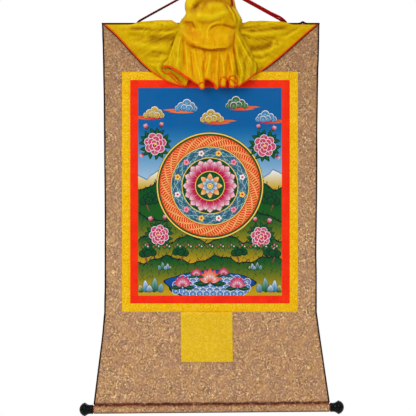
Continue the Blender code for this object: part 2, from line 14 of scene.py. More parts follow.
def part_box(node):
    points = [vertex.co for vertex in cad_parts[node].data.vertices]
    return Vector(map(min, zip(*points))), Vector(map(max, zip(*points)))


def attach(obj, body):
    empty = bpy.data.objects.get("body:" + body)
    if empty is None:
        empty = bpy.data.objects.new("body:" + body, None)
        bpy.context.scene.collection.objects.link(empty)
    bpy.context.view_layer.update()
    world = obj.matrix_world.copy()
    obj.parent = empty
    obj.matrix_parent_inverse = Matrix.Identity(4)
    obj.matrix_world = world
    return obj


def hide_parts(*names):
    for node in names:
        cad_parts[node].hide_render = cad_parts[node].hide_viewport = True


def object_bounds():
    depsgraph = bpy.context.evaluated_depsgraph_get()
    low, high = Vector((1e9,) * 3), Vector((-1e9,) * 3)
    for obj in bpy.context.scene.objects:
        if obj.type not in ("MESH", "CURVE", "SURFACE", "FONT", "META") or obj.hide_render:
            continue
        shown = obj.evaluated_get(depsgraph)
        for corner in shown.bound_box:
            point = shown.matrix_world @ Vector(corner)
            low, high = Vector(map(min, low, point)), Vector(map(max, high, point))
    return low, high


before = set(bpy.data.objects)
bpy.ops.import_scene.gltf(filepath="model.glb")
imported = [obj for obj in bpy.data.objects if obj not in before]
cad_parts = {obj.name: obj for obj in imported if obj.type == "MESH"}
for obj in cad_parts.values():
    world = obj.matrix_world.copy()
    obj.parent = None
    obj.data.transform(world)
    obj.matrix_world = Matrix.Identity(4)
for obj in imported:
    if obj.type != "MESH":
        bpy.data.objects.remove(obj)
cad_low, cad_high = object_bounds()
bpy.ops.object.select_all(action="DESELECT")

# ---- Camera, light and floor ------------------------------------------------------------------
# The scroll is seen square on and from far off, as in the photo. The origin is the hang point, under
# the cord's bend. A large soft lamp stands to the upper left, a weaker one to the right and one behind.

MM = 0.001
PHOTO_SIDE = 416
PIXEL = 2.05 * MM
MIDDLE_COLUMN = 210.7
HANG_ROW = -17.8
LENS = 135.0
SENSOR = 36.0
GROUND_Y = -5.7 * MM

view_x = (PHOTO_SIDE / 2 - MIDDLE_COLUMN) * PIXEL
view_z = -(PHOTO_SIDE / 2 - HANG_ROW) * PIXEL
distance = PHOTO_SIDE * PIXEL * LENS / SENSOR
bpy.ops.object.camera_add(
    location=(view_x, GROUND_Y - distance, view_z), rotation=(math.pi / 2, 0, 0)
)
camera = bpy.context.object
camera.data.lens = LENS
camera.data.sensor_width = SENSOR
camera.data.clip_end = 30
bpy.context.scene.camera = camera
bpy.context.scene.view_settings.view_transform = "Standard"


def lamp(name, size, energy, place, target):
    """A square soft box that faces a point."""
    bpy.ops.object.light_add(type="AREA", location=place)
    made = bpy.context.object
    made.name = name
    made.data.size = size
    made.data.energy = energy
    made.rotation_euler = (Vector(target) - Vector(place)).to_track_quat("-Z", "Y").to_euler()


lamp("key_lamp", 1.8, 42, (-1.5, -2.3, 0.9), (0, 0, -0.4))
lamp("fill_lamp", 1.6, 10, (1.8, -2.4, 0.2), (0, 0, -0.5))
lamp("rear_lamp", 1.6, 14, (0.8, 2.2, 0.8), (0, 0, -0.4))

LIGHT_LEVEL = 0.40
LIGHT_RISE = 0.34
WHITE = (1, 1, 1, 1)
room = bpy.data.worlds.new("room")
room.use_nodes = True
bpy.context.scene.world = room
backdrop = room.node_tree.nodes["Background"]
upward = room.node_tree.nodes.new("ShaderNodeTexCoord")
height = room.node_tree.nodes.new("ShaderNodeSeparateXYZ")
brighter_above = room.node_tree.nodes.new("ShaderNodeMath")
brighter_above.operation = "MULTIPLY_ADD"
brighter_above.inputs[1].default_value = LIGHT_RISE
brighter_above.inputs[2].default_value = LIGHT_LEVEL
room.node_tree.links.new(upward.outputs["Generated"], height.inputs[0])
room.node_tree.links.new(height.outputs["Z"], brighter_above.inputs[0])
room.node_tree.links.new(brighter_above.outputs[0], backdrop.inputs["Strength"])
seen = room.node_tree.nodes.new("ShaderNodeBackground")
pick = room.node_tree.nodes.new("ShaderNodeMixShader")
ray = room.node_tree.nodes.new("ShaderNodeLightPath")
backdrop.inputs["Color"].default_value = WHITE
seen.inputs["Color"].default_value = WHITE
room.node_tree.links.new(ray.outputs["Is Camera Ray"], pick.inputs[0])
room.node_tree.links.new(backdrop.outputs[0], pick.inputs[1])
room.node_tree.links.new(seen.outputs[0], pick.inputs[2])
room.node_tree.links.new(pick.outputs[0], room.node_tree.nodes["World Output"].inputs[0])

FLOOR_DROP = 0.30
FLOOR_RADIUS = 2.0
FLOOR_GREY = (0.85, 0.85, 0.84, 1)
bpy.ops.mesh.primitive_circle_add(
    vertices=96, radius=FLOOR_RADIUS, fill_type="NGON", location=(0, 0, cad_low.z - FLOOR_DROP)
)
floor = bpy.context.object
floor.name = "floor"
floor_paint = bpy.data.materials.new("floor_paint")
floor_paint.use_nodes = True
floor_shader = floor_paint.node_tree.nodes["Principled BSDF"]
floor_shader.inputs["Base Color"].default_value = FLOOR_GREY
floor_shader.inputs["Roughness"].default_value = 0.9
floor.data.materials.append(floor_paint)

# ---- The hanging cord ---------------------------------------------------------------------------
# A dark red laid cord is knotted behind the rod at both ends and runs up over the hang point. Its
# spare end goes back from the right knot beside it, over its bend and down in front of the veil.

CORD_DIAMETER = 4.2 * MM
CORD_RADIUS = CORD_DIAMETER / 2
CORD_FIBRES = 2.3 * MM
HANG_RISE = 83 * MM
CORD_SPREAD = 151 * MM
TOP_Z = -HANG_RISE
ROD_Z = TOP_Z - 7.0 * MM
WRAP_RADIUS = 10.1 * MM
KNOT_Y = 3.4 * MM
KNOT_Z = ROD_Z - 11.6 * MM
KNOT_RADIUS = 4.0 * MM
KNOT_LOOP = 2.1 * MM
KNOT_DEPTH = 1.25 * MM
KNOT_CORD = 1.45 * MM
KNOT_LAY = 7 * MM
KNOT_EXIT_BACK = 2.2 * MM
KNOT_EXIT_RISE = 0.6 * MM
LAY = 11 * MM
STRANDS = 3
STRAND_APART = CORD_DIAMETER + 0.7 * MM
SPREAD_ON_ROD = 1.0
# How far the second strand turns before the first, and how it lies by the rod: angles in degrees,
# then where along the span, in mm from the tie, each turn starts and how long it takes.
STRAND_TURN = 52.0
TURN_START = 4.0
TURN_RUN = 24.0
ROD_LEAN = 80.0
LEAN_START = 3.5
LEAN_RUN = 14.0
SPAN_STATIONS = (
    # inward from the rod's tie in mm, behind (+) the hang point in mm
    (3.5, 4.4),
    (12, 1.0),
    (30, 0.2),
    (50, 0.0),
    (100, 0.0),
    (138, 0.0),
)
SPARE_TAIL = (
    # x, y, z in mm: over the cord's bend, then down before the veil
    (4, -4.6, 3.6),
    (-2, -6.4, 4.6),
    (-4, -11, 3.2),
    (3, -16, -1.5),
    (15, -21, -8),
    (29, -26, -17.5),
    (38.5, -28, -30),
    (42.5, -29.5, -41),
    (44, -31, -52.3),
)
SPAN_ANGLE = math.atan2(HANG_RISE, CORD_SPREAD)


def blend(a, b, share):
    return a + (b - a) * share


def ease(value):
    value = min(max(value, 0.0), 1.0)
    return value * value * (3.0 - 2.0 * value)


def spaced(first, last, steps):
    return [blend(first, last, i / steps) for i in range(steps + 1)]


def smooth_route(points, step):
    """Points every `step` along a Catmull-Rom curve through `points`."""
    points = [Vector(p) for p in points]
    ends = [2 * points[0] - points[1], *points, 2 * points[-1] - points[-2]]
    fine = []
    for a, b, c, d in zip(ends, ends[1:], ends[2:], ends[3:]):
        for f in spaced(0.0, 1.0, 24)[:-1]:
            fine.append(
                0.5 * (2 * b + (c - a) * f + (2 * a - 5 * b + 4 * c - d) * f**2)
                + 0.5 * (3 * b - a - 3 * c + d) * f**3
            )
    fine.append(points[-1])
    lengths = [0.0]
    for a, b in zip(fine, fine[1:]):
        lengths.append(lengths[-1] + (b - a).length)
    count = max(2, round(lengths[-1] / step))
    route = []
    k = 0
    for wanted in spaced(0.0, lengths[-1], count):
        while k < len(fine) - 2 and lengths[k + 1] < wanted:
            k += 1
        part = (wanted - lengths[k]) / max(lengths[k + 1] - lengths[k], 1e-9)
        route.append(fine[k].lerp(fine[k + 1], part))
    return route


def hanging_span(side, second=False):
    """From behind the rod to the bend. A second strand starts beside the first and turns before it."""
    apart = STRAND_APART if second else 0.0
    out = CORD_SPREAD + SPREAD_ON_ROD * apart
    route = [(side * out, KNOT_Y + KNOT_EXIT_BACK, KNOT_Z + KNOT_RADIUS + KNOT_EXIT_RISE)]
    for degrees in range(-15, 46, 20):
        angle = math.radians(degrees)
        y, z = WRAP_RADIUS * math.cos(angle), ROD_Z + WRAP_RADIUS * math.sin(angle)
        route.append((side * out, y, z))
    for inward, y in SPAN_STATIONS:
        turn = math.radians(STRAND_TURN) * ease((inward - TURN_START) / TURN_RUN)
        beside, nearer = apart * math.cos(turn), apart * math.sin(turn)
        upright = ease((inward - LEAN_START) / LEAN_RUN)
        lean = blend(math.radians(ROD_LEAN), SPAN_ANGLE, upright)
        x = CORD_SPREAD - inward * MM + beside * math.sin(lean)
        rise = inward * MM * math.tan(SPAN_ANGLE) + beside * math.cos(lean)
        route.append((side * x, y * MM - nearer, TOP_Z + CORD_RADIUS + rise))
    return route


def laid_cord(name, route, radius, lay, strands, tapered=True):
    """A mesh tube whose surface winds in strands round its route; `twist` runs along the strands."""
    around = strands * 6
    mesh = bpy.data.meshes.new(name)
    build = bmesh.new()
    twist = build.verts.layers.float.new("twist")
    side = None
    rings = []
    run = 0.0
    for k, point in enumerate(route):
        before, after = route[max(k - 1, 0)], route[min(k + 1, len(route) - 1)]
        along = (after - before).normalized()
        if side is None:
            side = along.orthogonal().normalized()
        side = (side - along * side.dot(along)).normalized()
        up = along.cross(side)
        run += (point - before).length
        taper = 1.0
        if tapered:
            taper = min(1.0, 0.55 + 0.45 * min(k, len(route) - 1 - k) / 2)
        ring = []
        for j in range(around):
            angle = 2 * math.pi * j / around
            turn = strands * (angle / 2 - math.pi * run / lay)
            strand = abs(math.cos(turn))
            reach = radius * taper * (0.84 + 0.19 * strand**0.7)
            vertex = build.verts.new(point + reach * (math.cos(angle) * side + math.sin(angle) * up))
            vertex[twist] = strand
            ring.append(vertex)
        rings.append(ring)
    for ring, following in zip(rings, rings[1:]):
        for j in range(around):
            nearby = (j + 1) % around
            build.faces.new((ring[j], ring[nearby], following[nearby], following[j]))
    build.faces.new(list(reversed(rings[0])))
    build.faces.new(rings[-1])
    bmesh.ops.recalc_face_normals(build, faces=build.faces)
    build.to_mesh(mesh)
    build.free()
    mesh.shade_smooth()
    made = bpy.data.objects.new(name, mesh)
    bpy.context.scene.collection.objects.link(made)
    return made


class Reading:
    """A value that varies over a surface. Arithmetic with readings is done by a material's nodes."""

    def __init__(self, tree, socket):
        self.tree = tree
        self.socket = socket

    def math(self, operation, *others):
        node = self.tree.nodes.new("ShaderNodeMath")
        node.operation = operation
        for slot, value in zip(node.inputs, (self, *others)):
            if isinstance(value, Reading):
                self.tree.links.new(value.socket, slot)
            else:
                slot.default_value = value
        return Reading(self.tree, node.outputs[0])

    def __add__(self, other):
        return self.math("ADD", other)

    def __sub__(self, other):
        return self.math("SUBTRACT", other)

    def __mul__(self, other):
        return self.math("MULTIPLY", other)

    def between(self, low, high):
        """0 below `low`, 1 above `high`, and a ramp between; the other way round if low is higher."""
        return (self - low).math("DIVIDE", high - low).math("MINIMUM", 1.0).math("MAXIMUM", 0.0)

    def near(self, value, width):
        """1 at `value`, falling to 0 at `width` from it."""
        return (self - value).math("ABSOLUTE").between(width, 0.0)


class Finish:
    """A material under construction: its readings, its colour and its bump."""

    def __init__(self, name, roughness, **constants):
        self.material = bpy.data.materials.new(name)
        self.material.use_nodes = True
        self.tree = self.material.node_tree
        self.shader = self.tree.nodes["Principled BSDF"]
        self.shader.inputs["Roughness"].default_value = roughness
        for socket, value in constants.items():
            self.shader.inputs[socket.replace("_", " ")].default_value = value
        place = self.tree.nodes.new("ShaderNodeTexCoord")
        self.spot = place.outputs["Object"]
        split = self.tree.nodes.new("ShaderNodeSeparateXYZ")
        self.tree.links.new(self.spot, split.inputs[0])
        self.x, self.y, self.z = (Reading(self.tree, out) * 1000.0 for out in split.outputs)

    def noise(self, size_mm, detail=2.0, stretch=(1, 1, 1), distortion=0.0):
        """Soft random patches about this size."""
        scale = self.tree.nodes.new("ShaderNodeMapping")
        scale.inputs["Scale"].default_value = [1000.0 * s / size_mm for s in stretch]
        self.tree.links.new(self.spot, scale.inputs["Vector"])
        cloud = self.tree.nodes.new("ShaderNodeTexNoise")
        cloud.inputs["Scale"].default_value = 1.0
        cloud.inputs["Detail"].default_value = detail
        cloud.inputs["Distortion"].default_value = distortion
        self.tree.links.new(scale.outputs[0], cloud.inputs["Vector"])
        return Reading(self.tree, cloud.outputs["Fac"])

    def flecks(self, size_mm, stretch=(1, 1, 1)):
        """(distance from the middle of the nearest fleck, a random value for that fleck)."""
        scale = self.tree.nodes.new("ShaderNodeMapping")
        scale.inputs["Scale"].default_value = [1000.0 * s / size_mm for s in stretch]
        self.tree.links.new(self.spot, scale.inputs["Vector"])
        cells = self.tree.nodes.new("ShaderNodeTexVoronoi")
        cells.inputs["Scale"].default_value = 1.0
        self.tree.links.new(scale.outputs[0], cells.inputs["Vector"])
        split = self.tree.nodes.new("ShaderNodeSeparateColor")
        self.tree.links.new(cells.outputs["Color"], split.inputs[0])
        return Reading(self.tree, cells.outputs["Distance"]), Reading(self.tree, split.outputs[0])

    def stored(self, name):
        """A number kept on the mesh's points."""
        node = self.tree.nodes.new("ShaderNodeAttribute")
        node.attribute_name = name
        return Reading(self.tree, node.outputs["Fac"])

    def mix(self, share, first, second):
        """From the first colour to the second as the share goes from 0 to 1."""
        node = self.tree.nodes.new("ShaderNodeMix")
        node.data_type = "RGBA"
        if isinstance(share, Reading):
            self.tree.links.new(share.socket, node.inputs["Factor"])
        else:
            node.inputs["Factor"].default_value = share
        for slot, colour in ((node.inputs[6], first), (node.inputs[7], second)):
            if isinstance(colour, bpy.types.NodeSocket):
                self.tree.links.new(colour, slot)
            else:
                slot.default_value = (*colour, 1.0)
        return node.outputs[2]

    def colour(self, socket):
        self.tree.links.new(socket, self.shader.inputs["Base Color"])

    def relief(self, reading, height_mm, strength=1.0):
        """Bump of this height for a reading from 0 to 1."""
        node = self.tree.nodes.new("ShaderNodeBump")
        node.inputs["Strength"].default_value = strength
        node.inputs["Distance"].default_value = height_mm * MM
        self.tree.links.new(reading.socket, node.inputs["Height"])
        self.tree.links.new(node.outputs[0], self.shader.inputs["Normal"])


def lit(red, green, blue):
    """A colour given in screen values (0 to 255), as the light that it reflects."""
    shares = (value / 255 for value in (red, green, blue))
    return tuple(s / 12.92 if s <= 0.04045 else ((s + 0.055) / 1.055) ** 2.4 for s in shares)


cord_finish = Finish("red_cord_fibre", 0.7, Specular_IOR_Level=0.1)
strand = cord_finish.stored("twist")
fibre = cord_finish.noise(0.5, 2.0)
# The cord's red is painted darker towards the left and brighter towards the right: painted shade and light
# across the scroll.
cord_red_shaded_left = cord_finish.mix(cord_finish.x.between(-110, 60), lit(84, 3, 6), lit(168, 6, 10))
# The grooves between the strands are painted near black: painted shade between the strands.
cord_red_groove_shade = cord_finish.mix(strand.between(0.7, 0.05), cord_red_shaded_left, lit(36, 0, 2))
fibre_red_shaded_left = cord_finish.mix(cord_finish.x.between(-110, 60), lit(106, 6, 10), lit(208, 14, 18))
cord_finish.colour(cord_finish.mix(fibre.between(0.45, 0.85), cord_red_groove_shade, fibre_red_shaded_left))
cord_finish.relief(fibre, 0.15)

FIBRE_STEP = 0.9 * MM
hang_route = smooth_route(
    hanging_span(-1) + [(0.0, 0.0, CORD_RADIUS)] + hanging_span(1)[::-1], FIBRE_STEP
)
tail_points = [tuple(value * MM for value in point) for point in SPARE_TAIL]
spare_route = smooth_route(hanging_span(1, second=True) + tail_points, FIBRE_STEP)


def stopper_knot(name, middle):
    """The cord's end drawn into an overhand knot."""
    route = []
    for step in range(73):
        angle = 2 * math.pi * step / 72
        route.append(
            Vector((
                middle + KNOT_LOOP * (math.sin(angle) + 1.15 * math.sin(2 * angle)) * 0.9,
                KNOT_Y - KNOT_DEPTH * math.sin(3 * angle),
                KNOT_Z + KNOT_LOOP * (math.cos(angle) - 1.15 * math.cos(2 * angle)) * 0.9,
            ))
        )
    return laid_cord(name, route, KNOT_CORD, KNOT_LAY, STRANDS, tapered=False)


knots = {}
for side, name in ((-1, "left"), (1, "right")):
    middle = side * (CORD_SPREAD + max(side, 0) * SPREAD_ON_ROD * STRAND_APART / 2)
    knots[name] = stopper_knot(f"knot_{name}", middle)
    knots[name].data.materials.append(cord_finish.material)
    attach(knots[name], "root")
    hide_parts(f"cord_knot_{name}")

cord = laid_cord("cord", hang_route, CORD_FIBRES, LAY, STRANDS)
spare = laid_cord("cord_spare_end", spare_route, CORD_FIBRES, LAY, STRANDS)
for piece, node in ((cord, "hanging_cord"), (spare, "spare_cord")):
    piece.data.materials.append(cord_finish.material)
    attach(piece, "root")
    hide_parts(node)

# ---- The painted picture ------------------------------------------------------------------------
# Cotton canvas primed with chalk and glue, then painted in mineral colours: each form is shaded from
# light to deep and drawn round with a fine line. A lotus circle stands over hills and a lake.

# A place on the canvas is given in mm from its middle, and so is a size.
canvas_low, canvas_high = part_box("painting")
CANVAS_WIDTH = (canvas_high.x - canvas_low.x) / MM
CANVAS_HEIGHT = (canvas_high.z - canvas_low.z) / MM
CANVAS_THICKNESS = canvas_high.y - canvas_low.y
LATTICE = 8.5
PETAL_STEPS = 8
CANVAS_TUCK = 0.35

AZURE = lit(0, 94, 160)
CERULEAN = lit(38, 128, 190)
HAZE = lit(166, 196, 222)
MALACHITE = lit(0, 74, 36)
LEAF_GREEN = lit(26, 92, 26)
OCHRE = lit(196, 154, 20)
CINNABAR = lit(222, 62, 24)
CORAL = lit(236, 118, 74)
CRIMSON = lit(186, 6, 62)
ROSE = lit(240, 150, 178)
CHALK = lit(238, 238, 240)
GOLD = lit(246, 208, 88)
TEAL = lit(52, 104, 128)
PALE_TEAL = lit(168, 198, 196)
STRAW = lit(248, 214, 128)
INK = lit(16, 20, 38)

forms = []


def paint(outline, colour, inside=()):
    """Lays a form over those before it. `colour` gives the paint at a point."""
    turned = sum(a.x * b.y - b.x * a.y for a, b in zip(outline, outline[1:] + outline[:1]))
    forms.append((outline if turned > 0 else outline[::-1], colour, inside))


def blended(first, last, share):
    """Paint worked from one colour into another, even to the eye."""
    return tuple(blend(math.sqrt(a), math.sqrt(b), share) ** 2 for a, b in zip(first, last))


def flat(colour):
    def at(point):
        return colour

    return at


def fade(start, first, end, last):
    """Shaded evenly from one place to another."""
    run = end - start

    def at(point):
        share = min(max((point - start).dot(run) / run.length_squared, 0.0), 1.0)
        return blended(first, last, share)

    return at


def glow(middle, radius, first, last):
    """Shaded from a middle outwards."""

    def at(point):
        share = min((point - middle).length / radius, 1.0) ** 1.4
        return blended(first, last, share)

    return at


def polar(middle, radius, degrees):
    """The point at this distance and direction from a middle."""
    angle = math.radians(degrees)
    return middle + radius * Vector((math.cos(angle), math.sin(angle)))


def disc(middle, radius, points):
    return [polar(middle, radius, 360 * k / points) for k in range(points)]


def petal(root, tip, width, fullness):
    """A leaf shape from root to tip; the higher the fullness, the nearer the root it is widest."""
    run = tip - root
    across = Vector((-run.y, run.x)).normalized()
    left, right = [], []
    for step in range(1, PETAL_STEPS):
        share = step / PETAL_STEPS
        half = width / 2 * math.sin(math.pi * share**fullness) ** 0.8
        left.append(root + run * share + across * half)
        right.append(root + run * share - across * half)
    return [root, *left, tip, *reversed(right)]


def drawn_petal(root, tip, width, colour, line, rim, fullness=0.75):
    """A petal with a drawn edge."""
    out = (tip - root).normalized() * rim
    paint(petal(root - out, tip + out * 1.6, width + 2 * rim, fullness), flat(line))
    paint(petal(root, tip, width, fullness), colour, [root.lerp(tip, 0.35), root.lerp(tip, 0.7)])


def drawn_disc(middle, radius, colour, line, rim, points=20):
    """A disc with a drawn edge."""
    paint(disc(middle, radius + rim, points), flat(line))
    inner = disc(middle, radius * 0.5, 8) if radius > 4 else ()
    paint(disc(middle, radius, points), colour, [middle, *inner])


def stroke(points, width, colour):
    """A brush line that thins to its ends."""
    left, right = [], []
    last = len(points) - 1
    for k, point in enumerate(points):
        run = points[min(k + 1, last)] - points[max(k - 1, 0)]
        across = Vector((-run.y, run.x)).normalized()
        half = width / 2 * (0.35 + 0.65 * math.sin(math.pi * k / last))
        left.append(point + across * half)
        right.append(point - across * half)
    paint(left + right[::-1], flat(colour))


def sky_and_hills():
    """Deep blue overhead, paler down to a far ridge, then green hills that fall to ochre banks."""
    half_w, half_h = CANVAS_WIDTH / 2, CANVAS_HEIGHT / 2
    foot_left, foot_right = Vector((-half_w, -half_h)), Vector((half_w, -half_h))
    sky = [foot_left, foot_right, Vector((half_w, half_h)), Vector((-half_w, half_h))]
    paint(sky, fade(Vector((0, 135)), AZURE, Vector((0, 22)), HAZE))
    ridges = (
        # height, height of its swells, swells across, colour at the crest, at the foot, depth to it
        (34, 9, 5.0, CHALK, OCHRE, 30),
        (14, 11, 3.2, MALACHITE, LEAF_GREEN, 70),
        (-52, 10, 2.3, MALACHITE, OCHRE, 70),
        (-98, 8, 3.7, MALACHITE, OCHRE, 46),
        (-140, 7, 2.8, MALACHITE, OCHRE, 66),
    )
    ground = [Vector((half_w + 2, -half_h - 2)), Vector((-half_w - 2, -half_h - 2))]
    for number, (height, swell, swells, crest, foot, depth) in enumerate(ridges):
        top = []
        for x in spaced(-half_w - 2, half_w + 2, 44):
            turn = math.pi * swells * x / half_w
            swelling = height + swell * math.sin(turn + number * 1.7)
            top.append(Vector((x, swelling + 2.2 * math.sin(3.3 * turn))))
        edge = [point + Vector((0, 2.4)) for point in top]
        paint(edge + ground, flat(INK if number else lit(88, 130, 170)))
        paint(top + ground, fade(Vector((0, height + swell)), crest, Vector((0, height - depth)), foot))
        if number == 0:
            continue
        for row, (drop, colour) in enumerate(((0, INK), (13, INK), (23, MALACHITE), (33, INK))):
            for k, point in enumerate(top[1:-1]):
                lean = 3.4 * math.sin(k * 2.4 + row)
                drift = 2.6 * math.sin(k * 3.7 + row)
                root = point + Vector((drift, -drop - 2 - 3 * math.sin(k * 1.3 + row)))
                middle, tip = root + Vector((lean, 4.0)), root + Vector((1.9 * lean, 7.6))
                stroke([root, middle, tip], 1.0 if row else 2.0, colour)


def lake():
    """A pool with rows of overlapping scallop waves."""
    middle = Vector((0, -190))
    reach, depth, radius = 92, 25, 7.4
    shore = []
    for k in range(60):
        degrees = 360 * k / 60
        point = polar(middle, 1.0, degrees) - middle
        bulge = 1 + 0.05 * math.sin(math.radians(5 * degrees))
        bulge += 0.03 * math.sin(math.radians(9 * degrees + 40))
        shore.append(middle + Vector((point.x * (reach - 4) * bulge, point.y * (depth + 3) * bulge)))
    paint([middle + (point - middle) * 1.04 for point in shore], flat(INK))
    paint(shore, flat(lit(0, 74, 150)))
    rings = (
        # share of the wave's radius, colour
        (1.0, CHALK),
        (0.88, lit(0, 78, 160)),
        (0.66, lit(120, 175, 220)),
        (0.54, AZURE),
        (0.3, CHALK),
        (0.19, AZURE),
    )
    for row in range(6):
        height = middle.y + depth - 5 - row * 6.4
        share = max(0.0, 1 - ((height - radius / 2 - middle.y) / depth) ** 2)
        columns = int(reach * math.sqrt(share) * 0.97 / (2 * radius))
        for column in range(-columns, columns + 1):
            wave = Vector((column * 2 * radius * 0.94 + (row % 2) * radius * 0.94, height - radius))
            for size, colour in rings:
                paint(disc(wave, radius * size, 18), flat(colour))


def tree(root, size, side):
    """A crooked trunk under dark rounded crowns, each crown drawn with rows of small leaves."""
    bend = root + Vector((side * size * 0.35, size * 0.8))
    top = root + Vector((-side * size * 0.1, size * 1.7))
    for width, colour in ((0.34, INK), (0.22, lit(128, 84, 48))):
        stroke([root, root.lerp(bend, 0.6), bend, bend.lerp(top, 0.5), top], size * width, colour)
    crowns = (
        # across, up, radius, as shares of the size
        (-0.75, 1.5, 0.5),
        (0.75, 1.35, 0.52),
        (0.3, 1.85, 0.5),
        (-0.3, 2.1, 0.55),
        (0.05, 1.4, 0.5),
    )
    for across, up, radius in crowns:
        spot = root + Vector((side * across, up)) * size
        sunny = spot + Vector((0, size * 0.2))
        leafage = glow(sunny, size * 0.8, MALACHITE, lit(0, 44, 30))
        drawn_disc(spot, size * radius, leafage, INK, 0.8, 16)
        for k in range(7):
            mark = polar(spot, size * radius * 0.62, 51.4 * k + 20)
            paint(disc(mark, size * 0.08, 7), flat(LEAF_GREEN))


def rocks(root, size, side):
    """Blades of rock in blue and green, pale where they turn to the light."""
    blades = (
        # across, height, width, as shares of the size, then colour at the foot, at the tip
        (-1.1, 1.1, 0.8, TEAL, PALE_TEAL),
        (1.0, 0.9, 0.8, MALACHITE, STRAW),
        (0.5, 1.5, 0.75, AZURE, CHALK),
        (-0.45, 1.8, 0.85, MALACHITE, PALE_TEAL),
        (0.1, 0.9, 0.8, TEAL, CHALK),
    )
    for across, height, width, deep, pale in blades:
        foot = root + Vector((side * across * size, 0))
        tip = foot + Vector((side * across * size * 0.25, height * size))
        drawn_petal(foot, tip, width * size, fade(foot, deep, tip, pale), INK, 0.6, 0.62)
        bent = foot.lerp(tip, 0.5) + Vector((size * 0.06, 0))
        stroke([foot.lerp(tip, 0.2), bent, foot.lerp(tip, 0.85)], 0.9, deep)


def lotus(middle, size, deep, pale):
    """A lotus seen from the side, with a fan of pointed petals."""
    outer_petals = (
        # direction in degrees, then length and width as shares of the size
        (18, 1.0, 0.42),
        (162, 1.0, 0.42),
        (42, 1.0, 0.5),
        (138, 1.0, 0.5),
        (66, 1.05, 0.52),
        (114, 1.05, 0.52),
        (90, 1.1, 0.56),
    )
    for degrees, reach, width in outer_petals:
        tip = polar(middle, size * reach, degrees)
        drawn_petal(middle, tip, size * width, fade(middle, pale, tip, deep), CRIMSON, 0.45, 0.8)
    for degrees in (30, 150, 60, 120, 90):
        tip = polar(middle, size * 0.55, degrees)
        drawn_petal(middle, tip, size * 0.34, fade(middle, deep, tip, pale), CRIMSON, 0.4, 0.8)


def leaf(root, tip, width):
    """A dark green leaf with its veins."""
    drawn_petal(root, tip, width, fade(root, lit(0, 52, 40), tip, MALACHITE), INK, 0.4, 0.85)
    run = tip - root
    across = Vector((-run.y, run.x)).normalized()
    stroke([root, root.lerp(tip, 0.5), root.lerp(tip, 0.92)], 0.6, lit(70, 130, 70))
    for share in (0.25, 0.45, 0.65):
        for side in (-1, 1):
            start = root.lerp(tip, share)
            halfway = start + run * 0.1 + across * side * width * 0.16
            end = start + run * 0.16 + across * side * width * 0.3
            stroke([start, halfway, end], 0.4, lit(50, 110, 60))


def peony(middle, size, turn):
    """Three rounds of cupped petals, white at the rim and deep inside, on lobed leaves."""
    for k in range(5):
        degrees = turn + 72 * k
        root = polar(middle, size * 0.7, degrees)
        for spread in (-26, 26, 0):
            leaf(root, polar(middle, size * 1.75, degrees + spread), size * 0.5)
    for reach, count, radius in ((0.78, 7, 0.4), (0.46, 5, 0.36), (0.2, 3, 0.24)):
        for k in range(count):
            spot = polar(middle, size * reach, turn + 360 * k / count)
            heart = middle.lerp(spot, 0.75)
            drawn_disc(spot, size * radius, glow(heart, size * radius * 2.7, CRIMSON, CHALK), CHALK, 0.9, 14)
            stroke([heart, spot, middle.lerp(spot, 1.3)], 1.1, CHALK if k % 2 else ROSE)
    drawn_disc(middle, size * 0.13, flat(GOLD), CRIMSON, 0.4, 12)


def bud(root, tip, size):
    """A half-open bud on its stalk."""
    side = Vector((root.y - tip.y, tip.x - root.x)).normalized()
    stroke([root, root.lerp(tip, 0.5) + side * 1.5, tip], 1.7, LEAF_GREEN)
    out = (tip - root).normalized() * size
    drawn_petal(tip - out * 0.3, tip + out * 0.7, size * 0.9, flat(MALACHITE), INK, 0.4)
    for turn in (-0.3, 0.3, 0.0):
        reach = out + side * size * turn
        drawn_petal(tip, tip + reach, size * 0.62, fade(tip, CRIMSON, tip + reach, CHALK), CRIMSON, 0.4)


def cloud(middle, size, side, colour, underside):
    """Curled lobes over a long tail, each lobe lit at its rim."""
    for height, reach in ((-0.34, 2.9), (-0.56, 2.2)):
        start = middle + Vector((-side * size * 0.9, size * height))
        end = middle + Vector((side * size * reach, size * (height + 0.06)))
        drawn_petal(start, end, size * 0.34, fade(start, underside, end, CORAL), INK, 0.6, 1.0)
    lobes = (
        # along, up, radius, as shares of the size
        (-0.95, -0.12, 0.34),
        (1.05, -0.10, 0.36),
        (-0.60, 0.22, 0.44),
        (0.62, 0.20, 0.46),
        (-0.05, 0.52, 0.52),
        (0.28, 0.00, 0.40),
        (-0.32, -0.08, 0.42),
    )
    for along, up, radius in lobes:
        spot = middle + Vector((side * along, up)) * size
        drawn_disc(spot, size * radius, flat(CHALK), INK, 0.7, 18)
        inner = spot - Vector((0, size * radius * 0.1))
        pale = blended(CHALK, colour, 0.6)
        paint(disc(inner, size * radius * 0.9, 16), glow(inner, size * radius * 0.9, pale, colour), [inner])
        curl = []
        for k in range(10):
            curl.append(polar(inner, size * radius * (0.62 - 0.045 * k), 200 - side * 34 * k))
        stroke(curl, 0.8, INK)


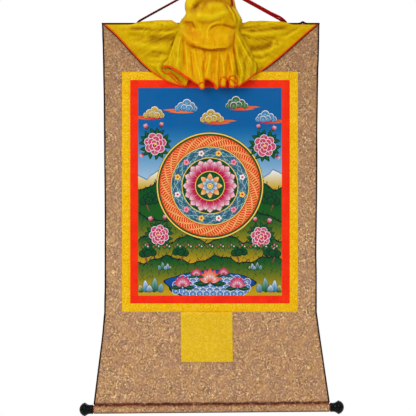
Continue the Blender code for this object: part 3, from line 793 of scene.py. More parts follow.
def lotus_circle(middle):
    """Rings about a lotus, each painted over the one outside it."""
    # Flames
    drawn_disc(middle, 109, flat(GOLD), INK, 0.8, 120)
    paint(disc(middle, 106.5, 120), flat(MALACHITE))
    paint(disc(middle, 103, 120), glow(middle, 103, CORAL, CINNABAR), disc(middle, 88, 60))
    for k in range(132):
        degrees = 360 * k / 132
        line = []
        for share in spaced(0.0, 1.0, 8):
            line.append(polar(middle, blend(81.5, 102, share), degrees + 1.5 * math.sin(share * 9.0 + k)))
        stroke(line, 1.15, STRAW)
    # Woven water with small flowers
    drawn_disc(middle, 80.5, flat(GOLD), INK, 0.5, 100)
    paint(disc(middle, 78.8, 100), glow(middle, 79, lit(80, 140, 150), TEAL), disc(middle, 66, 50))
    for row in range(5):
        for k in range(30):
            start = 12 * k + 6 * (row % 2)
            line = []
            for share in spaced(0.0, 1.0, 6):
                height = 58 + 4.6 * row + 1.5 * math.sin(share * 8.5)
                line.append(polar(middle, height, start + 10.5 * share))
            stroke(line, 1.4, PALE_TEAL if (k + row) % 3 else lit(12, 48, 96))
    for k in range(12):
        spot = polar(middle, 68.5, 30 * k + 15)
        for turn in range(5):
            petal_paint = flat((CHALK, ROSE, GOLD)[k % 3])
            drawn_disc(polar(spot, 3.6, 72 * turn), 2.7, petal_paint, CRIMSON, 0.35, 10)
        drawn_disc(spot, 2.0, flat(CINNABAR), CRIMSON, 0.35, 10)
    # Two ranks of large petals
    drawn_disc(middle, 56.5, flat(MALACHITE), GOLD, 1.4, 80)
    for rank, (reach, root_reach, width) in enumerate(((55, 26, 17), (50, 24, 15))):
        for k in range(16):
            degrees = 22.5 * k + 11.25 * rank
            root, tip = polar(middle, root_reach, degrees), polar(middle, reach, degrees)
            drawn_petal(root, tip, width, fade(root.lerp(tip, 0.4), CRIMSON, tip, CHALK), CRIMSON, 0.6, 1.25)
            stroke([root.lerp(tip, 0.2), root.lerp(tip, 0.5), root.lerp(tip, 0.85)], 0.8, ROSE)
    # Leaves, and the flower itself
    drawn_disc(middle, 30.5, flat(GOLD), INK, 0.5, 60)
    paint(disc(middle, 29, 60), glow(middle, 29, lit(0, 110, 78), MALACHITE), disc(middle, 18, 24))
    for k in range(8):
        leaf(polar(middle, 11, 45 * k + 22.5), polar(middle, 28, 45 * k + 22.5), 7)
    for k in range(8):
        root, tip = polar(middle, 4, 45 * k), polar(middle, 25.5, 45 * k)
        drawn_petal(root, tip, 11, fade(root, CINNABAR, tip, STRAW), INK, 0.45, 1.15)
    for k in range(8):
        root, tip = polar(middle, 2, 45 * k + 22.5), polar(middle, 16.5, 45 * k + 22.5)
        drawn_petal(root, tip, 8, fade(root, AZURE, tip, CHALK), INK, 0.4, 1.15)
    drawn_disc(middle, 6.2, glow(middle, 6.2, STRAW, GOLD), INK, 0.45)
    for k in range(6):
        drawn_disc(polar(middle, 3.4, 60 * k), 0.9, flat(CINNABAR), INK, 0.25, 8)


def picture():
    """The whole design, from the farthest form to the nearest."""
    sky_and_hills()
    lake()
    clouds = (
        # x, height, size, the side its tail is on, colour, colour underneath
        (-48, 172, 17, -1, CERULEAN, CORAL),
        (54, 178, 17, 1, LEAF_GREEN, CINNABAR),
        (3, 150, 18, 1, OCHRE, CINNABAR),
        (-114, 158, 16, -1, OCHRE, CRIMSON),
        (114, 150, 16, 1, CERULEAN, CRIMSON),
    )
    for x, z, size, side, colour, underside in clouds:
        cloud(Vector((x, z)), size, side, colour, underside)
    for side in (-1, 1):
        tree(Vector((side * 124, -40)), 15, side)
        tree(Vector((side * 60, -143)), 13, -side)
        tree(Vector((side * 127, -146)), 14, side)
        rocks(Vector((side * 122, -206)), 17, side)
        rocks(Vector((side * 92, -160)), 9, -side)
    lotus_circle(Vector((0, 12)))
    peonies = (
        # x, height, size, turn in degrees
        (-112, 98, 19, 10),
        (112, 94, 19, 44),
        (-104, -88, 17, 30),
        (104, -92, 17, 64),
    )
    for x, z, size, turn in peonies:
        spot = Vector((x, z))
        side = 1 if x > 0 else -1
        for run, rise, girth in ((0.9, 1.7, 9), (-0.6, 1.9, 8), (1.3, -1.1, 8)):
            bud(spot, spot + Vector((side * run, rise)) * size, girth)
        peony(spot, size, turn)
    lotuses = (
        # x, height, size
        (-56, -192, 19),
        (0, -184, 25),
        (56, -194, 19),
        (-28, -170, 12),
        (28, -168, 12),
    )
    for x, z, size in lotuses:
        for side in (-1, 1):
            leaf(Vector((x, z - 2)), Vector((x + side * size * 1.3, z - 5)), size * 0.5)
        lotus(Vector((x, z)), size, CRIMSON if x else CINNABAR, CHALK)
    for x in range(-132, 133, 22):
        for k in range(3):
            spot = Vector((x + 5 * k - 5, -113 + 3 * (k % 2) + 5 * math.sin(x)))
            drawn_disc(spot, 3.6, glow(spot, 4.5, lit(60, 130, 50), MALACHITE), INK, 0.5, 12)
            drawn_disc(spot + Vector((0, 1.5)), 1.3, flat((CINNABAR, ROSE, CHALK)[k]), CRIMSON, 0.3, 8)


def canvas_wave(x, z):
    """How far the canvas stands out of flat, where glue and paint have drawn it."""
    return 0.22 * MM * (math.sin(19 * x + 3 * z) + math.sin(13 * z + 1.0) * math.cos(9 * x))


def topmost_forms(corners, triangles):
    """For each triangle, the number of the last form painted over its middle, or -1 off the canvas."""
    spots = np.array([point[:] for point in corners])
    middles = spots[np.array(triangles)].mean(axis=1)
    order = np.argsort(middles[:, 0])
    middles = middles[order]
    owners = np.full(len(middles), -1)
    for number, form in enumerate(forms):
        ring = np.array([point[:] for point in form[0]])
        first, last = np.searchsorted(middles[:, 0], (ring[:, 0].min(), ring[:, 0].max()))
        near = middles[first:last]
        within = np.flatnonzero((near[:, 1] > ring[:, 1].min()) & (near[:, 1] < ring[:, 1].max()))
        x, z = near[within, 0], near[within, 1]
        crossings = np.zeros(len(within), int)
        for (ax, az), (bx, bz) in zip(ring, np.roll(ring, -1, axis=0)):
            if az == bz:
                continue
            straddles = (az > z) != (bz > z)
            crossings += straddles & (x < ax + (z - az) * (bx - ax) / (bz - az))
        covered = within[crossings % 2 == 1] + first
        if number:
            covered = covered[owners[covered] >= 0]
        owners[covered] = number
    unsorted = np.empty_like(owners)
    unsorted[order] = owners
    return unsorted.tolist()


def painted_canvas():
    """One skin of triangles, cut along every painted edge, with a plain cotton back and sides."""
    points, edges = [], []
    for outline, colour, inside in forms:
        first, count = len(points), len(outline)
        edges.extend((first + k, first + (k + 1) % count) for k in range(count))
        points.extend(outline)
        points.extend(inside)
    half_w, half_h = CANVAS_WIDTH / 2, CANVAS_HEIGHT / 2
    for x in spaced(-half_w, half_w, round(CANVAS_WIDTH / LATTICE)):
        for z in spaced(-half_h, half_h, round(CANVAS_HEIGHT / LATTICE)):
            points.append(Vector((x, z)))
    cut = delaunay_2d_cdt(points, edges, [], 0, 1e-4)
    corners, triangles = cut[0], cut[2]
    owners = topmost_forms(corners, triangles)
    kept = [(face, owner) for face, owner in zip(triangles, owners) if owner >= 0]

    middle_x = (canvas_low.x + canvas_high.x) / 2
    middle_z = (canvas_low.z + canvas_high.z) / 2
    grow = 1 + 2 * CANVAS_TUCK / CANVAS_WIDTH
    places = []
    for point in corners:
        x, z = middle_x + point.x * MM * grow, middle_z + point.y * MM * grow
        places.append((x, canvas_low.y + canvas_wave(x, z), z))
    mesh = bpy.data.meshes.new("painted_picture")
    mesh.from_pydata(places, [], [face for face, owner in kept])
    paints = mesh.color_attributes.new("paint", "FLOAT_COLOR", "CORNER")
    values = []
    for face, owner in kept:
        colour = forms[owner][1]
        for corner in face:
            values.extend((*colour(corners[corner]), 1.0))
    paints.data.foreach_set("color", values)

    build = bmesh.new()
    build.from_mesh(mesh)
    bmesh.ops.delete(build, geom=[v for v in build.verts if not v.link_faces], context="VERTS")
    bmesh.ops.recalc_face_normals(build, faces=build.faces)
    if sum(face.normal.y for face in build.faces) > 0:
        bmesh.ops.reverse_faces(build, faces=build.faces)
    rim = [edge for edge in build.edges if edge.is_boundary]
    sides = bmesh.ops.extrude_edge_only(build, edges=rim)["geom"]
    for vertex in sides:
        if isinstance(vertex, bmesh.types.BMVert):
            vertex.co.y += CANVAS_THICKNESS
    back = bmesh.ops.triangle_fill(
        build, edges=[edge for edge in build.edges if edge.is_boundary], use_beauty=True
    )["geom"]
    for face in sides + back:
        if isinstance(face, bmesh.types.BMFace):
            face.material_index = 1
    bmesh.ops.recalc_face_normals(build, faces=build.faces)
    build.to_mesh(mesh)
    build.free()
    made = bpy.data.objects.new("painted_picture", mesh)
    bpy.context.scene.collection.objects.link(made)
    return made


picture()
painting = painted_canvas()

painted = Finish("mineral_paint", 0.8, Specular_IOR_Level=0.1)
coat = painted.tree.nodes.new("ShaderNodeAttribute")
coat.attribute_name = "paint"
patches = painted.noise(24, 3).between(0.25, 0.8)
painted.colour(painted.mix(patches * 0.05, coat.outputs["Color"], lit(120, 110, 90)))
painted.relief(painted.noise(0.9, 2), 0.08, 0.5)

raw_cotton = Finish("raw_cotton", 0.9)
raw_cotton.colour(
    raw_cotton.mix(raw_cotton.noise(14, 4).between(0.3, 0.7), lit(222, 210, 182), lit(198, 182, 150))
)
raw_cotton.relief(raw_cotton.noise(1.1, 2), 0.15)
painting.data.materials.append(painted.material)
painting.data.materials.append(raw_cotton.material)
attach(painting, "root")
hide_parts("painting")

# ---- The red and yellow borders -----------------------------------------------------------------
# Four strips of red satin frame the picture, and four of yellow silk figured in gold frame those.
# The side strips run the whole height; each seam is a fine valley where the edges are turned in.

TOP_WIDTH = 443 * MM
WAIST_WIDTH = 434 * MM
FOOT_WIDTH = 485 * MM
FOOT_SHIFT = 2.0 * MM
FOOT_TILT = math.radians(0.5)
CLOTH = 1.4 * MM
CLOTH_Y = -5.0 * MM
SEAM_GAP = 0.3 * MM
CELL = 5 * MM
# The silk of the patch below the borders is greener, from this height down, in mm.
DOOR_TINT_TOP = -678


def woven(name, rows, thickness, face, back=None, edge=0.35 * MM, even=True):
    """A cloth through rows of points, thickened to both sides and rounded at its edges."""
    across, along = len(rows[0]), len(rows)
    bpy.ops.mesh.primitive_grid_add(x_subdivisions=across - 1, y_subdivisions=along - 1, size=1.0)
    made = bpy.context.object
    made.name = name
    made.data.name = name
    made.data.vertices.foreach_set("co", [value for row in rows for point in row for value in point])
    made.data.update()
    made.data.materials.append(face)
    made.data.materials.append(back or face)
    shell = made.modifiers.new("thickness", "SOLIDIFY")
    shell.thickness = thickness
    shell.offset = 0.0
    shell.use_even_offset = even
    shell.material_offset = 1
    rounding = made.modifiers.new("rounding", "BEVEL")
    rounding.width = edge
    rounding.segments = 2
    rounding.limit_method = "ANGLE"
    rounding.angle_limit = math.radians(55)
    bpy.ops.object.modifier_apply(modifier="thickness")
    bpy.ops.object.modifier_apply(modifier="rounding")
    bpy.ops.object.mode_set(mode="EDIT")
    bpy.ops.mesh.select_all(action="SELECT")
    bpy.ops.mesh.normals_make_consistent(inside=False)
    bpy.ops.object.mode_set(mode="OBJECT")
    made.data.shade_smooth()
    made.select_set(False)
    return made


def sewn(piece, node):
    """Puts a cloth under the root body and hides the node that it stands for."""
    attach(piece, "root")
    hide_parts(node)


def steps_for(length):
    return max(2, round(abs(length) / CELL))


def flat_rows(left, right, foot, top):
    """Rows from foot to top across a flat piece; a side is a number or a function of the height."""

    def ends(z):
        return [side(z) if callable(side) else side for side in (left, right)]

    first, last = ends(top)
    across = steps_for(last - first)
    rows = []
    for z in spaced(foot, top, steps_for(top - foot)):
        rows.append([Vector((x, CLOTH_Y + canvas_wave(x, z), z)) for x in spaced(*ends(z), across)])
    return rows


RING_UNITS = 34.0
LATTICE_UNITS = 46.7


def figures(finish, across, shift_x, shift_z):
    """(figure, outline) of round flowers among scrolls, set half-drop; `across` is a ring's width."""
    unit = across / RING_UNITS
    lattice = LATTICE_UNITS * unit
    u = (finish.x + finish.z + (shift_x + shift_z)) * math.sqrt(0.5)
    v = (finish.x - finish.z + (shift_x - shift_z)) * math.sqrt(0.5)
    du, dv = (run.math("WRAP", lattice / 2, -lattice / 2) for run in (u, v))
    reach = (du * du + dv * dv).math("SQRT")
    angle = dv.math("ARCTAN2", du)
    six, eight, sixteen = ((angle * count).math("COSINE") for count in (6, 8, 16))
    flower = (reach - six * (1.8 * unit)).between(5.0 * unit, 4.2 * unit)
    eye = reach.between(1.9 * unit, 1.4 * unit)
    pearls = reach.near(11.0 * unit, 2.4 * unit).between(0.2, 0.5) * sixteen.between(-0.1, 0.4)
    ring = reach.near(16.0 * unit, 1.5 * unit).between(0.15, 0.5)
    leaves = reach.near(20.5 * unit, 4.0 * unit).between(0.1, 0.5) * eight.between(0.25, 0.6)
    scroll = (finish.noise(11 * unit, 1, distortion=1.2) * 44.0).math("SINE").between(0.4, 0.8)
    scroll = scroll * reach.between(22.5 * unit, 24.5 * unit)
    figure = flower.math("SUBTRACT", eye)
    for part in (pearls, ring, leaves, scroll):
        figure = figure.math("MAXIMUM", part)
    halo = reach.near(13.6 * unit, 1.6 * unit).math("MAXIMUM", reach.near(7.2 * unit, 1.6 * unit))
    halo = halo.math("MAXIMUM", reach.near(18.2 * unit, 1.3 * unit)).between(0.2, 0.7)
    return figure, halo


red_satin = Finish("red_satin", 0.55, Specular_IOR_Level=0.12)
weft = red_satin.noise(1.6, 2, stretch=(0.5, 1, 1.6))
worn_red = red_satin.mix(red_satin.noise(22, 3).between(0.3, 0.75), lit(240, 32, 2), lit(252, 50, 6))
# The weft's floats are mixed towards a pale pink: a painted sheen where they catch the light.
red_satin.colour(red_satin.mix(weft.between(0.62, 0.8) * 0.4, worn_red, lit(250, 120, 90)))
red_satin.relief(weft, 0.12)

yellow_silk = Finish(
    "yellow_figured_silk", 0.45, Specular_IOR_Level=0.3, Specular_Tint=(1.0, 0.8, 0.1, 1.0)
)
figure, halo = figures(yellow_silk, 34, 8, 3)
spark = yellow_silk.flecks(2.0)[1]
ground = yellow_silk.mix(yellow_silk.noise(30, 3).between(0.3, 0.75), lit(238, 176, 0), lit(246, 190, 2))
shaded = yellow_silk.mix(halo * 0.4, ground, lit(214, 148, 0))
gilded = yellow_silk.mix(figure * 0.45, shaded, lit(248, 206, 34))
sparkling = yellow_silk.mix(spark.between(0.72, 1.0) * 0.6, gilded, lit(252, 222, 90))
dotted = yellow_silk.mix(spark.between(0.28, 0.0) * 0.5, sparkling, lit(214, 150, 0))
on_door = yellow_silk.z.between(DOOR_TINT_TOP, DOOR_TINT_TOP - 4)
yellow_silk.colour(yellow_silk.mix(on_door * 0.3, dotted, lit(202, 186, 62)))
yellow_silk.relief(figure * 0.7 + spark * 0.3, 0.25)

STRIPS = (
    # end, then the axis (0 is X, 2 is Z) and the direction in which it reaches over its seam
    ("left", 0, 1),
    ("right", 0, -1),
    ("top", 2, -1),
    ("bottom", 2, 1),
)
for colour, finish in (("red", red_satin), ("yellow", yellow_silk)):
    for end, axis, direction in STRIPS:
        node = f"{colour}_{end}"
        low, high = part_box(node)
        if direction > 0:
            high[axis] += SEAM_GAP
        else:
            low[axis] -= SEAM_GAP
        rows = flat_rows(low.x, high.x, low.z, high.z)
        strip = woven(f"{colour}_strip_{end}", rows, CLOTH, finish.material, raw_cotton.material)
        sewn(strip, node)

# ---- The brocade ground ---------------------------------------------------------------------------
# Heavy brocade in dull gold on tan is pieced round the borders. The top panel turns over the rod and
# is hemmed behind; the bottom one flares, hangs in soft waves and turns under the roller.

BORDER_TOP_Z = -183.5 * MM
BORDER_FOOT_Z = -675.5 * MM
SLEEVE_RADIUS = 5.0 * MM
ROLL_RADIUS = 8.5 * MM
ROLL_Y = CLOTH_Y + 1.0 * MM
ROLL_Z = -873.8 * MM
SEAM_Z = -863.7 * MM
TAPE_THICK = 1.0 * MM
TAPE_FACE = 3.0 * MM
HEM_INSET = TAPE_FACE + SEAM_GAP
HEAD_HEM_TOP = 13 * MM
HEAD_HEM_FOOT = 24 * MM
FOOT_HEM_LOW = 3 * MM
FOOT_HEM_TOP = 14 * MM
# Half the length of the brocade's roll, and how far in from its ends it is coloured reddish brown, in mm.
ROLL_HALF = 240.8
ROLL_END_BAND = 1.2


def half_width(z):
    """Half the scroll's width: a little narrower at the waist, flaring to the foot."""
    if z > BORDER_FOOT_Z:
        share = (TOP_Z - z) / (TOP_Z - BORDER_FOOT_Z)
        return blend(TOP_WIDTH, WAIST_WIDTH, share) / 2
    share = (BORDER_FOOT_Z - z) / (BORDER_FOOT_Z - SEAM_Z)
    return blend(WAIST_WIDTH, FOOT_WIDTH, min(share, 1.0)) / 2


def cloth_edge(z):
    """Half the width of the brocade itself, inside the tape."""
    return half_width(z) - TAPE_THICK - SEAM_GAP


def billow(x, z):
    """How far the lower panel stands forward in its waves."""
    fall = (BORDER_FOOT_Z - z) / (BORDER_FOOT_Z - SEAM_Z)
    if not 0.0 < fall < 1.0:
        return 0.0
    across = x / (FOOT_WIDTH / 2)
    swell = math.cos(5.2 * across + 0.6) + 0.5 * math.cos(11.0 * across - 1.0)
    return -2.2 * MM * math.sin(math.pi * fall) ** 2 * swell


# How far each side edge stands outside a ruled line.
SIDE_WANDER = (
    # mm below the hang point, left side, right side in mm
    (86, 2.1, 2.1),
    (106, 1.5, 1.6),
    (131, 0.6, 1.3),
    (155, 0.3, 1.0),
    (180, 0.0, 0.1),
    (241, -0.7, -0.4),
    (303, -0.7, -1.0),
    (364, -0.8, -0.3),
    (426, -1.0, -0.3),
    (487, -0.9, -0.6),
    (548, -0.3, -0.9),
    (610, 0.1, 0.3),
    (671, 1.5, 0.7),
    (733, -0.2, 0.1),
    (800, 0.0, 0.0),
    (900, 0.0, 0.0),
)
STEADY_HALF = 183 * MM


def side_wander(side, z):
    """How far this side's edge stands outside a ruled line at this height."""
    below = min(max(-z / MM, SIDE_WANDER[0][0]), SIDE_WANDER[-1][0])
    column = 1 if side < 0 else 2
    for upper, lower in zip(SIDE_WANDER, SIDE_WANDER[1:]):
        if below <= lower[0]:
            share = ease((below - upper[0]) / (lower[0] - upper[0]))
            return blend(upper[column], lower[column], share) * MM


def askew(point):
    """Where a point hangs: the side edges wander, and the roller is off centre and not quite level."""
    share = min(max((BORDER_FOOT_Z - point.z) / (BORDER_FOOT_Z - SEAM_Z), 0.0), 1.0)
    side = 1 if point.x > 0 else -1
    outer = max(abs(point.x) - STEADY_HALF, 0.0) / (half_width(point.z) - STEADY_HALF)
    x = point.x + FOOT_SHIFT * share + side * outer * side_wander(side, point.z)
    return Vector((x, point.y, point.z + math.tan(FOOT_TILT) * x * share))


def around(first, last, step, radius, y, z):
    """Points (y, z) round a bar along X, at angles in degrees from +Y towards +Z."""
    points = []
    for degrees in range(first, last + 1, step):
        angle = math.radians(degrees)
        points.append((y + radius * math.cos(angle), z + radius * math.sin(angle)))
    return points


brocade = Finish("beige_brocade", 0.55, Specular_IOR_Level=0.2)
figure, halo = figures(brocade, 40, -20, 12)
spark = brocade.flecks(2.4, stretch=(1.15, 1, 0.85))[1]
grain = brocade.flecks(3.6, stretch=(1, 1, 0.6))[1]
patch = brocade.noise(17, 3)
busy = brocade.noise(34, 2).between(0.36, 0.62)
ground = brocade.mix(patch.between(0.36, 0.64), lit(177, 132, 98), lit(194, 146, 92))
shaded = brocade.mix(halo * 0.5, ground, lit(128, 103, 86))
gilded = brocade.mix(figure * 0.3, shaded, lit(212, 166, 114))
rosy = brocade.mix(grain.between(0.6, 1.0) * 0.3, gilded, lit(206, 146, 120))
sheen = (figure * 0.55 + 0.3) * spark.between(0.7, 0.9) * (busy * 0.6 + 0.55)
sparkling = brocade.mix(sheen, rosy, lit(252, 212, 158))
dulled = brocade.mix(spark.between(0.34, 0.1) * (busy * 0.45 + 0.35), sparkling, lit(112, 88, 74))
upper = brocade.z.between(-560, -90)
dimmer = brocade.mix(upper * 0.26, dulled, lit(92, 52, 24))
level = brocade.z - brocade.x * math.tan(FOOT_TILT)
in_front = brocade.y.between(-1.0, -3.0)
# Along the seam above the roller the crease is painted dark: painted shade in the crease, mottled like the
# dark thread that stitches it.
uneven = level - (brocade.noise(26, 3) - 0.5) * 5.0
crease = uneven.near(SEAM_Z / MM - 0.6, 4.4).between(0.0, 0.7) * in_front
crease = crease * brocade.noise(7, 2).between(0.2, 0.5)
# A wider brown band about the crease is painted shade round it.
shade_round_crease = level.near(SEAM_Z / MM - 2.6, 7.0).between(0.0, 0.7) * in_front
shade_round_crease = shade_round_crease * brocade.noise(5, 2).between(0.3, 0.6)
# The roll is painted dark brown along its underside: painted shade under the roll.
roll_foot = (ROLL_Z - ROLL_RADIUS) / MM
underside = level.between(roll_foot + 3.8, roll_foot + 0.8)
# The roll is coloured reddish brown close to its ends.
roll_ends = (brocade.x - FOOT_SHIFT / MM).math("ABSOLUTE").between(ROLL_HALF - ROLL_END_BAND, ROLL_HALF)
roll_ends = roll_ends * level.between(SEAM_Z / MM - 1, SEAM_Z / MM - 3)
rolled = brocade.mix(shade_round_crease * 0.7, dimmer, lit(140, 72, 38))
rolled = brocade.mix(underside * 0.85, rolled, lit(56, 32, 22))
rolled = brocade.mix(roll_ends * 0.8, rolled, lit(132, 40, 18))
stitches_and_crease_shade = brocade.mix(brocade.noise(4, 2).between(0.45, 0.6), lit(66, 30, 14), lit(112, 38, 18))
brocade.colour(brocade.mix(crease, rolled, stitches_and_crease_shade))
brocade.relief(figure * 0.6 + spark * 0.4, 0.3)
brocade_back = Finish("brocade_reverse", 0.85, Specular_IOR_Level=0.2)
floats = brocade_back.noise(3, 2, stretch=(0.2, 1, 2))
brocade_back.colour(brocade_back.mix(floats.between(0.35, 0.65), lit(126, 100, 78), lit(168, 134, 98)))
brocade_back.relief(floats, 0.2)

border_left, border_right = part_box("yellow_left")[0].x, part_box("yellow_right")[1].x
hem_y = CLOTH_Y + CLOTH + SEAM_GAP
front = [(CLOTH_Y, z) for z in spaced(BORDER_TOP_Z, ROD_Z - 4 * MM, 20)]
over_rod = around(-75, 180, 15, SLEEVE_RADIUS, 0.0, ROD_Z)[::-1]
hem = [(hem_y, z) for z in spaced(ROD_Z - HEAD_HEM_TOP, ROD_Z - HEAD_HEM_FOOT, 2)]
rows = []
for y, z in front + over_rod + hem:
    edge = cloth_edge(z) - SEAM_GAP - (HEM_INSET if (y, z) in hem else 0.0)
    still = 1.0 if (y, z) in front else 0.0
    rows.append([askew(Vector((x, y + still * canvas_wave(x, z), z))) for x in spaced(-edge, edge, 80)])
head_panel = woven("head_panel", rows, CLOTH, brocade.material, brocade_back.material)
sewn(head_panel, "brocade_top")

SIDE_PANELS = (
    # name, left side, right side, flat width in metres
    ("left", lambda z: -cloth_edge(z), border_left, 0.036),
    ("right", border_right, cloth_edge, 0.039),
)
for name, left, right, flat_width in SIDE_PANELS:
    rows = flat_rows(left, right, BORDER_FOOT_Z, BORDER_TOP_Z)
    rows = [[askew(point) for point in row] for row in rows]
    side_panel = woven(f"side_panel_{name}", rows, CLOTH, brocade.material, brocade_back.material)
    sewn(side_panel, f"brocade_{name}")

SEAM_DIP = 0.5 * MM
drop = [(CLOTH_Y, z) for z in spaced(BORDER_FOOT_Z, SEAM_Z + 3 * MM, 38)]
seam = [(CLOTH_Y + SEAM_DIP, SEAM_Z), (CLOTH_Y - 1.6 * MM, SEAM_Z - 1.9 * MM)]
under = around(135, 420, 15, ROLL_RADIUS, ROLL_Y, ROLL_Z)
hem_y = CLOTH_Y + SEAM_DIP + CLOTH + SEAM_GAP
turn = [(hem_y + 0.8 * MM, SEAM_Z - 0.4 * MM)]
hem = [(hem_y, SEAM_Z + FOOT_HEM_LOW), (hem_y, SEAM_Z + FOOT_HEM_TOP)]
rows = []
for y, z in drop + seam + under + turn + hem:
    edge = cloth_edge(max(z, SEAM_Z)) - (HEM_INSET if (y, z) in hem else 0.0)
    still = ease((z - SEAM_Z) / (12 * MM)) if (y, z) in drop else 0.0
    rows.append([
        askew(Vector((x, y + billow(x, z) + still * canvas_wave(x, z), z)))
        for x in spaced(-edge, edge, 96)
    ])
rows.reverse()
foot_panel = woven("foot_panel", rows, CLOTH, brocade.material, brocade_back.material)
sewn(foot_panel, "brocade_bottom")

# ---- The door patch -------------------------------------------------------------------------------
# A near-square of the yellow figured silk is sewn on the lower panel, its top edge against the
# border, and follows the panel's waves.

DOOR_CLOTH = 1.0 * MM
DOOR_WIDTH = 106 * MM
DOOR_HEIGHT = 103 * MM
DOOR_SHIFT = -8.5 * MM
DOOR_CLEAR = 0.4 * MM
PRESSED = 0.35 * MM
PRESSED_RUN = 4 * MM
low = Vector((DOOR_SHIFT - DOOR_WIDTH / 2, 0, BORDER_FOOT_Z - DOOR_HEIGHT))
high = Vector((DOOR_SHIFT + DOOR_WIDTH / 2, 0, BORDER_FOOT_Z - 2 * SEAM_GAP))
door_y = GROUND_Y - SEAM_GAP - DOOR_CLOTH / 2 - DOOR_CLEAR
rows = []
for z in spaced(low.z, high.z, steps_for(high.z - low.z)):
    row = []
    for x in spaced(low.x, high.x, steps_for(high.x - low.x)):
        inside = min(x - low.x, high.x - x, z - low.z, high.z - z)
        pressed = PRESSED * (1 - ease(inside / PRESSED_RUN))
        row.append(askew(Vector((x, door_y + billow(x, z) + canvas_wave(x, z) + pressed, z))))
    rows.append(row)
door = woven("door", rows, DOOR_CLOTH, yellow_silk.material, raw_cotton.material)
sewn(door, "door_patch")

# ---- The dark edge tape ---------------------------------------------------------------------------
# A dark ribbed tape is folded over both side edges and another over the top of the rod's sleeve.

TAPE_CLOTH = 0.8 * MM
RIB = 1.5
SLEEVE_DROP = 16 * MM
SLEEVE_CLOSING = 8 * MM
TAPE_TURN = 1.4 * MM
tape_finish = Finish("dark_ribbed_tape", 0.7, Specular_IOR_Level=0.05)
ribs = ((tape_finish.z + tape_finish.x) * (math.tau / RIB)).math("SINE").between(-0.6, 0.9)
lint = tape_finish.noise(2.4, 2)
# The hollows between the ribs are painted darker than their crowns: painted shade between the ribs.
ribbed = tape_finish.mix(ribs, lit(16, 3, 2), lit(46, 14, 8))
tape_finish.colour(tape_finish.mix(lint.between(0.55, 0.8) * 0.2, ribbed, lit(84, 26, 16)))
tape_finish.relief(ribs, 0.2)

reach = CLOTH / 2 + SEAM_GAP + TAPE_THICK / 2
sleeve_end = ROD_Z - SLEEVE_DROP
heights = [ROD_Z + SLEEVE_RADIUS * 0.5, ROD_Z]
heights += spaced(ROD_Z - 4 * MM, BORDER_FOOT_Z, 130)
heights += spaced(BORDER_FOOT_Z - 4 * MM, SEAM_Z + 0.4 * MM, 43)
for side, name in ((-1, "left"), (1, "right")):
    rows = []
    for z in reversed(heights):
        wave = billow(side * cloth_edge(z), z) + canvas_wave(side * cloth_edge(z), z)
        back = reach
        if z > sleeve_end - SLEEVE_CLOSING:
            closing = ease((z - sleeve_end) / SLEEVE_CLOSING)
            back = reach + blend(CLOTH + SEAM_GAP, 2 * SLEEVE_RADIUS, closing)
        middle_y, depth = CLOTH_Y + (back - reach) / 2, (back + reach) / 2
        turn_in = min(depth, TAPE_TURN)
        wander = 0.25 * MM * math.sin(61 * z + side) * math.sin(23 * z)
        row = []
        for degrees in (-90, -89, -65, -35, 0, 35, 65, 89, 90):
            angle = math.radians(degrees)
            inset = TAPE_THICK / 2 + turn_in * (1 - math.cos(angle))
            if abs(degrees) == 90:
                inset = TAPE_FACE + wander
            row.append(askew(Vector((
                side * (half_width(z) - inset), middle_y + wave + depth * math.sin(angle), z
            ))))
        rows.append(row if side < 0 else row[::-1])
    tape = woven(f"side_tape_{name}", rows, TAPE_CLOTH, tape_finish.material, edge=0.2 * MM)
    sewn(tape, f"binding_{name}")

# The top tape is a little full on its sleeve, and stands up in one small loose fold.
LOOSE_AT = 189 * MM
LOOSE_WIDTH = 4.5 * MM
LOOSE_RISE = 3.6 * MM
CAP_FULLNESS = 0.5 * MM
cap_radius = SLEEVE_RADIUS + CLOTH / 2 + SEAM_GAP + TAPE_THICK / 2
cap_half = TOP_WIDTH / 2 + side_wander(1, ROD_Z)
across_rod = spaced(-cap_half, cap_half, 180)
rows = []
for y, z in around(30, 150, 10, cap_radius + CAP_FULLNESS, 0.0, ROD_Z):
    loose = [LOOSE_RISE * math.exp(-((x - LOOSE_AT) / LOOSE_WIDTH) ** 2) for x in across_rod]
    rows.append([Vector((x, y, z + rise)) for x, rise in zip(across_rod, loose)])
rows.reverse()
cap = woven("top_tape", rows, TAPE_CLOTH, tape_finish.material, edge=0.2 * MM)
sewn(cap, "binding_top")

# ---- The rods and the knobs -----------------------------------------------------------------------
# A thin rod and a thicker roller of plain wood. The knobs are turned hardwood: a neck, a flared rim
# and a domed end, painted in glossy black lacquer.

KNOB_STEPS = 56
KNOB_PROFILE = (
    # along the knob from its neck in mm, radius in mm
    (0.0, 8.8),
    (0.4, 9.4),
    (1.2, 9.6),
    (3.5, 9.35),
    (7.0, 9.3),
    (9.0, 9.6),
    (11.0, 10.3),
    (12.8, 11.4),
    (14.5, 12.6),
    (16.0, 13.6),
    (17.0, 14.0),
    (17.7, 14.05),
    (18.4, 13.85),
    (20.0, 13.1),
    (21.5, 12.3),
    (23.4, 11.0),
    (25.0, 9.3),
    (26.4, 7.4),
    (27.5, 5.2),
    (28.2, 2.8),
)
KNOB_LENGTH = 28.5

